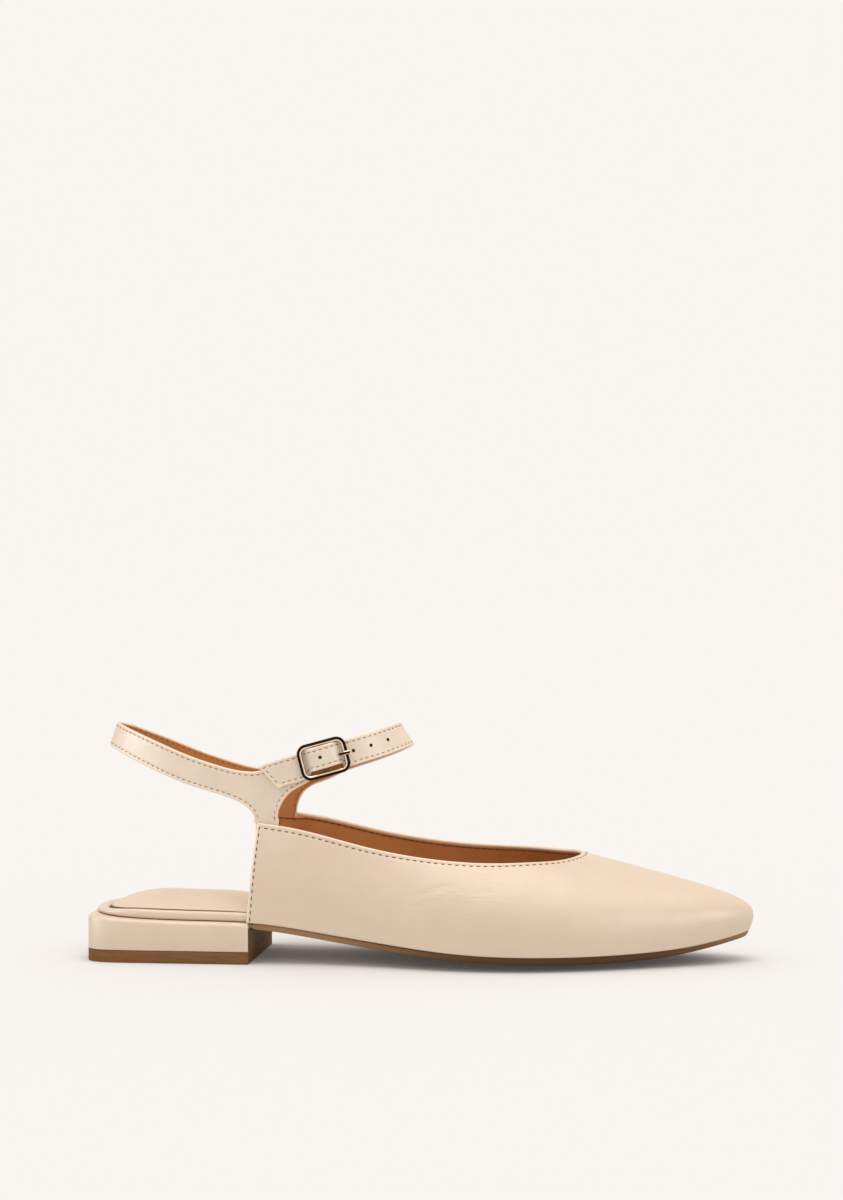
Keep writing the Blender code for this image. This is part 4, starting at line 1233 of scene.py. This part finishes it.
def buckle_matrix():
    """Where the buckle sits: X forward along the strap, Y up across it, Z out of the arm."""
    low, high = ankle_edges()
    middle = (low + high) / 2
    out = strap_normals(middle, high - low)
    place = np.flatnonzero((middle[:, 1] < 0) & (middle[:, 0] > BUCKLE_X))[-1]
    share = (BUCKLE_X - middle[place, 0]) / (middle[place + 1, 0] - middle[place, 0])
    origin = middle[place] + share * (middle[place + 1] - middle[place])
    normal = Vector(out[place])
    forward = Vector(middle[place - 1] - middle[place + 2])
    forward = (forward - normal * forward.dot(normal)).normalized()
    across = normal.cross(forward)
    matrix = Matrix((forward, across, normal)).transposed().to_4x4()
    matrix.translation = Vector(origin) + normal * STRAP_THICKNESS / 2 + across * BUCKLE_UP
    return matrix @ Matrix.Rotation(math.radians(BUCKLE_TURN_DEG), 4, "Z")


def edge_rows(grid, normals, face, ends):
    """Lines for the stitches along the edges of a strap and across its ends, with their normals.

    They lie on one face of the strap, that far along the normals.
    """
    borders = [(grid[:, 0], normals[:, 0], 1), (grid[:, -1], normals[:, -1], -1)]
    if ends:
        borders += [(grid[0], normals[0], -1), (grid[-1], normals[-1], 1)]
    rows = []
    for line, out, side in borders:
        inward = side * np.cross(unit(np.gradient(line, axis=0)), out)
        line = line + inward * STRAP_STITCH + out * face
        lengths = running_length(line)
        shown = (lengths > STRAP_STITCH) & (lengths < lengths[-1] - STRAP_STITCH)
        shown &= line[:, 2] > TAB_COLLAR_Z + STRAP_STITCH
        cuts = np.flatnonzero(np.diff(shown.astype(int))) + 1
        for part in np.split(np.arange(len(line)), cuts):
            if shown[part[0]] and len(part) > 2:
                rows.append((line[part], out[part] * np.sign(face)))
    return rows


def make_strap(name, grid, normals, leather, lining, thread, ends):
    """A strap of leather with a lining inside and rows of stitches that show on both faces."""
    half, layer = STRAP_THICKNESS / 2, STRAP_LEATHER_BACK
    depth = grid_distance(grid, all_borders(grid))
    relief = folded(depth) - GROOVE_DEPTH * beside_thread(depth - STRAP_STITCH)
    mesh, _ = pillow(name + "_leather", grid, normals, half, -layer, (half - layer) / 2,
                     (half + layer) / 2, relief=relief, edge=edge_highlight(depth))
    outer = add_piece(name + "_leather", mesh, leather, "beige_leather", name)
    mesh, _ = pillow(name + "_lining", grid, normals, -layer / 2, -half, -layer / 2, half - layer,
                     inset=STRAP_LINING_INSET)
    inner = add_piece(name + "_lining", mesh, lining, "tan_lining")
    rows = []
    for face in (half - GROOVE_DEPTH / 2, -half):
        rows += edge_rows(grid, normals, face, ends)
    stitches = stitch_mesh(name + "_stitches", rows, STRAP_PITCH, STRAP_THREAD_RADIUS)
    add_piece(name + "_stitches", stitches, thread, "stitching")
    return outer, inner


def make_heel_strap(leather, lining, thread):
    grid = strap_grid(*sling_edges(), SLING_ROWS_ACROSS)
    below = np.maximum(TAB_COLLAR_Z - grid[..., 2], 0.0)
    grid[..., 1] += np.sign(grid[..., 1]) * below * TAB_FLARE
    make_strap("heel_strap", grid, -grid_normals(grid), leather, lining, thread, ends=False)


def punch(obj, places, depth, inside):
    """Cuts round holes into a piece, each at a point of its face with that normal; the inside material
    paints their walls with shade.
    """
    bm = bmesh.new()
    for point, normal in places:
        turn = Vector(normal).to_track_quat("Z", "Y").to_matrix().to_4x4()
        bmesh.ops.create_cone(
            bm, cap_ends=True, segments=HOLE_SIDES, radius1=STRAP_HOLE_RADIUS, radius2=STRAP_HOLE_RADIUS,
            depth=2 * depth, matrix=Matrix.Translation(point) @ turn,
        )
    mesh = bpy.data.meshes.new("punches")
    bm.to_mesh(mesh)
    bm.free()
    mesh.materials.append(inside)
    cutter = bpy.data.objects.new("punches", mesh)
    cutter.matrix_world = obj.matrix_world
    bpy.context.scene.collection.objects.link(cutter)
    modifier = obj.modifiers.new("holes", "BOOLEAN")
    modifier.operation = "DIFFERENCE"
    modifier.object = cutter
    modifier.material_mode = "TRANSFER"
    graph = bpy.context.evaluated_depsgraph_get()
    cut = bpy.data.meshes.new_from_object(obj.evaluated_get(graph))
    obj.modifiers.clear()
    obj.data = cut
    bpy.data.objects.remove(cutter)


def make_ankle_strap(leather, lining, thread, dark, buckle):
    low, high = ankle_edges()
    middle = (low + high) / 2
    out = strap_normals(middle, high - low)
    to_buckle = np.array(buckle.inverted())
    along = (np.column_stack([middle, np.ones(len(middle))]) @ to_buckle.T)[:, 0]
    outer_side = middle[:, 1] < 0
    window = (1 - smooth_step(np.abs(along), STRAP_LIFT_FLAT, STRAP_LIFT_HALF)) * outer_side
    centre = (STRAP_THICKNESS + LAYER_GAP + STRAP_LIFT * window)[:, None]
    arch = STRAP_ARCH * smooth_step(window, 0, STRAP_ARCH_SHARE)[:, None]
    in_frame = (1 - smooth_step(np.abs(along), *STRAP_PEAK_FADE)) * outer_side
    peak = (STRAP_PEAK * in_frame)[:, None]
    across = unit(high - low)
    grid = strap_grid(low + out * centre + across * arch, high + out * centre + across * peak,
                      ANKLE_ROWS_ACROSS)
    normals = -grid_normals(grid)
    outer, inner = make_strap("ankle_strap", grid, normals, leather, lining, thread, ends=True)

    lengths = running_length(middle)
    buckle_length = lengths[np.argmin(np.where(outer_side, np.abs(along), np.inf))]
    row = grid.shape[1] // 2
    face = grid[:, row] + normals[:, row] * STRAP_THICKNESS / 2

    def on_strap(distance):
        """A point in the middle of the strap's outer face, that far in front of the buckle."""
        return [at_length(line, lengths, buckle_length - distance) for line in (face, out)]

    punch(outer, [on_strap(distance) for distance in STRAP_HOLES], STRAP_HOLE_DEPTH, dark)
    for piece in (outer, inner):
        punch(piece, [on_strap(PRONG_HOLE_ALONG)], 2 * STRAP_THICKNESS, dark)


# Buckle
def frame_path(out):
    """A rectangle with round corners, in the buckle's own plane."""
    points = []
    for corner, (sx, sy) in enumerate(((1, 1), (-1, 1), (-1, -1), (1, -1))):
        cx, cy = sx * (FRAME_HALF_LENGTH - FRAME_CORNER), sy * (FRAME_HALF_WIDTH - FRAME_CORNER)
        for turn in np.linspace(corner * math.pi / 2, (corner + 1) * math.pi / 2, CORNER_POINTS):
            points.append((cx + FRAME_CORNER * math.cos(turn), cy + FRAME_CORNER * math.sin(turn), out))
    return np.array(points)


def round_section(path, radius, cyclic):
    """Rings of a round wire along a path, and how far each of their points faces outwards."""
    along = np.roll(path, -1, 0) - np.roll(path, 1, 0) if cyclic else np.gradient(path, axis=0)
    along = unit(along)
    up = np.array((0.0, 0.0, 1.0)) if cyclic else np.array((0.0, 1.0, 0.0))
    side = unit(np.cross(along, up))
    lift = np.cross(side, along)
    turn = np.linspace(0, 2 * math.pi, WIRE_SIDES, endpoint=False)
    rings = path[:, None] + radius * (
        np.cos(turn)[:, None] * side[:, None] + np.sin(turn)[:, None] * lift[:, None]
    )
    return rings, np.tile(np.cos(turn), (len(path), 1))


def wire_mesh(name, path, radius, buckle, cyclic=False, painted_reflection_and_shade=None):
    """A round wire in the part's frame, with painted dark reflection and shade on it by how far a point
    of it faces outwards.
    """
    rings, outwards = round_section(np.asarray(path, float), radius, cyclic)
    rim = painted_reflection_and_shade(outwards) if painted_reflection_and_shade else np.zeros_like(outwards)
    faces = tube_faces(len(rings), WIRE_SIDES, cyclic=cyclic)
    if not cyclic:
        faces += end_faces(len(rings), WIRE_SIDES)
    points = [buckle @ Vector(p) for p in rings.reshape(-1, 3)]
    return face_mesh(name, points, faces, rim=rim)


def ring_painted_reflection_and_shadow(outwards):
    """Painted dark reflection on the outer half of the buckle's ring, and a thin painted shadow round
    its opening.
    """
    return np.maximum(smooth_step(outwards, *RING_REFLECTION_FADE), smooth_step(-outwards, *OPENING_SHADOW_FADE))


def pin_painted_reflection(outwards):
    """Painted dark reflection along the middle of the pin's outer side."""
    return smooth_step(outwards, *PIN_REFLECTION_FADE)


def bar_painted_shade(outwards):
    """Painted shade, the same all round the bar."""
    return np.full_like(outwards, BAR_SHADE_SHARE)


def make_buckle(metal, lining, buckle):
    frame_out = LAYER_GAP + STRAP_THICKNESS + GAP + FRAME_RADIUS
    path = frame_path(frame_out)
    mesh = wire_mesh("buckle_ring", path, FRAME_RADIUS, buckle, cyclic=True, painted_reflection_and_shade=ring_painted_reflection_and_shadow)
    add_piece("buckle_ring", mesh, metal, "pale_gold", "buckle_frame")
    half_bar = [
        (FRAME_HALF_WIDTH, 0, frame_out),
        (BAR_HALF_WIDTH + BAR_RADIUS, 0, BAR_OUT + BAR_RADIUS),
        (BAR_HALF_WIDTH, 0, BAR_OUT),
    ]
    path = through_rows(np.array(half_bar + [(-x, y, z) for x, y, z in half_bar[::-1]]), WIRE_STEPS)
    turned = buckle @ Matrix.Rotation(math.pi / 2, 4, "Z")
    mesh = wire_mesh("buckle_bar", path, BAR_RADIUS, turned, painted_reflection_and_shade=bar_painted_shade)
    add_piece("buckle_bar", mesh, metal, "pale_gold")

    turn = np.radians(np.linspace(*EYE_TURNS_DEG, EYE_POINTS))
    eye = np.column_stack([np.cos(turn), np.zeros(EYE_POINTS), np.sin(turn)]) * PRONG_EYE_RADIUS
    eye[:, 2] += BAR_OUT
    rest = frame_out + FRAME_RADIUS + GAP + PRONG_RADIUS
    shank = PRONG_SHANK + [(PRONG_REST_ALONG, rest), (PRONG_TIP_ALONG, rest - PRONG_RADIUS / 2)]
    shank = np.vstack([eye[-1:], [(x, 0, z) for x, z in shank]])
    path = np.vstack([eye[:-1], through_rows(shank, WIRE_STEPS)])
    mesh = wire_mesh("buckle_pin", path, PIN_RADIUS, buckle, painted_reflection_and_shade=pin_painted_reflection)
    add_piece("buckle_pin", mesh, metal, "pale_gold", "buckle_prong")

    along, across = (np.linspace(*ends, FOLD_POINTS) for ends in (FOLD_ALONG, FOLD_ACROSS))
    grid = np.array([[buckle @ Vector((x, y, 0)) for y in across] for x in along])
    normals = np.tile(buckle.col[2][:3], (*grid.shape[:2], 1))
    mesh, _ = pillow("arm_fold", grid, normals, 2 * GAP, GAP, 1.5 * GAP, GAP)
    add_piece("arm_fold", mesh, lining, "tan_lining")

    for name, sign in (("lower", -1), ("upper", 1)):
        ends = np.linspace(PRONG_SLOT_HALF, SLEEVE_HALF_WIDTH, SLEEVE_RINGS) * sign
        path = [(y, 0, BAR_OUT) for y in ends]
        mesh = wire_mesh("sleeve_" + name, path, SLEEVE_RADIUS, turned)
        add_piece("buckle_sleeve_" + name, mesh, lining, "tan_lining")


# Stage
def make_camera():
    data = bpy.data.cameras.new("camera")
    data.lens = CAMERA_LENS
    data.sensor_width = CAMERA_SENSOR
    camera = bpy.data.objects.new("camera", data)
    across, back = math.sin(CAMERA_AZIMUTH), math.cos(CAMERA_AZIMUTH)
    away = Vector((CAMERA_DISTANCE * across, -CAMERA_DISTANCE * back, CAMERA_HEIGHT))
    camera.location = Vector(FRAME_SHIFT) + away
    camera.rotation_euler = (math.pi / 2, 0.0, CAMERA_AZIMUTH)
    bpy.context.scene.collection.objects.link(camera)
    bpy.context.scene.camera = camera


def make_light():
    world = bpy.data.worlds.new("studio")
    world.use_nodes = True
    background = world.node_tree.nodes["Background"]
    background.inputs["Color"].default_value = (*BACKGROUND, 1.0)
    background.inputs["Strength"].default_value = 1.0
    bpy.context.scene.world = world
    bpy.context.scene.view_settings.view_transform = "Standard"
    for row in LAMPS:
        sun = bpy.data.lights.new(row.name, "SUN")
        sun.energy = row.energy
        sun.angle = math.radians(row.angle_deg)
        sun.color = LAMP_COLOUR
        lamp = bpy.data.objects.new(row.name, sun)
        turn = math.radians(row.azimuth_deg)
        lamp.rotation_euler = (math.radians(90 - row.elevation_deg), 0.0, turn)
        if row.sheen:
            lamp.visible_diffuse = False
            lamp.light_linking.receiver_collection = sheen_pieces
        bpy.context.scene.collection.objects.link(lamp)


def make_floor():
    bm = bmesh.new()
    bmesh.ops.create_grid(bm, x_segments=1, y_segments=1, size=FLOOR_SIZE)
    mesh = bpy.data.meshes.new("floor")
    bm.to_mesh(mesh)
    bm.free()
    floor = bpy.data.objects.new("floor", mesh)
    bpy.context.scene.collection.objects.link(floor)
    look = Look("floor_paper")
    look.feed(look.shader, {
        "Base Color": (*FLOOR, 1.0),
        "Roughness": 1.0,
        "Specular IOR Level": 0.0,
        "Emission Color": (*BACKGROUND, 1.0),
        "Emission Strength": FLOOR_GLOW,
    })
    mesh.materials.append(look.material)


def main():
    make_camera()
    make_light()
    make_floor()
    leather, strap, seat, lining = (leather_material(row) for row in LEATHERS)
    rubber = sole_material("heel_rubber", SOLE_DEEP, SOLE_BROWN)
    # The sole's rubber is a paler, painted-light copy of the heel's, with painted shade near the floor
    waist = sole_material("sole_rubber", SOLE_PAINTED_LIGHT_DEEP, SOLE_PAINTED_LIGHT_BROWN)
    metal, dark = metal_material(), hole_shade_material()
    thread = thread_material("strap_thread", STRAP_THREAD)
    buckle = buckle_matrix()
    make_upper(leather, lining, thread_material("collar_thread", COLLAR_THREAD))
    make_outsole(waist)
    make_heel(leather, rubber)
    make_insole_rim(leather)
    make_insole(seat)
    make_heel_strap(strap, lining, thread)
    make_ankle_strap(strap, lining, thread, dark, buckle)
    make_buckle(metal, lining, buckle)


main()
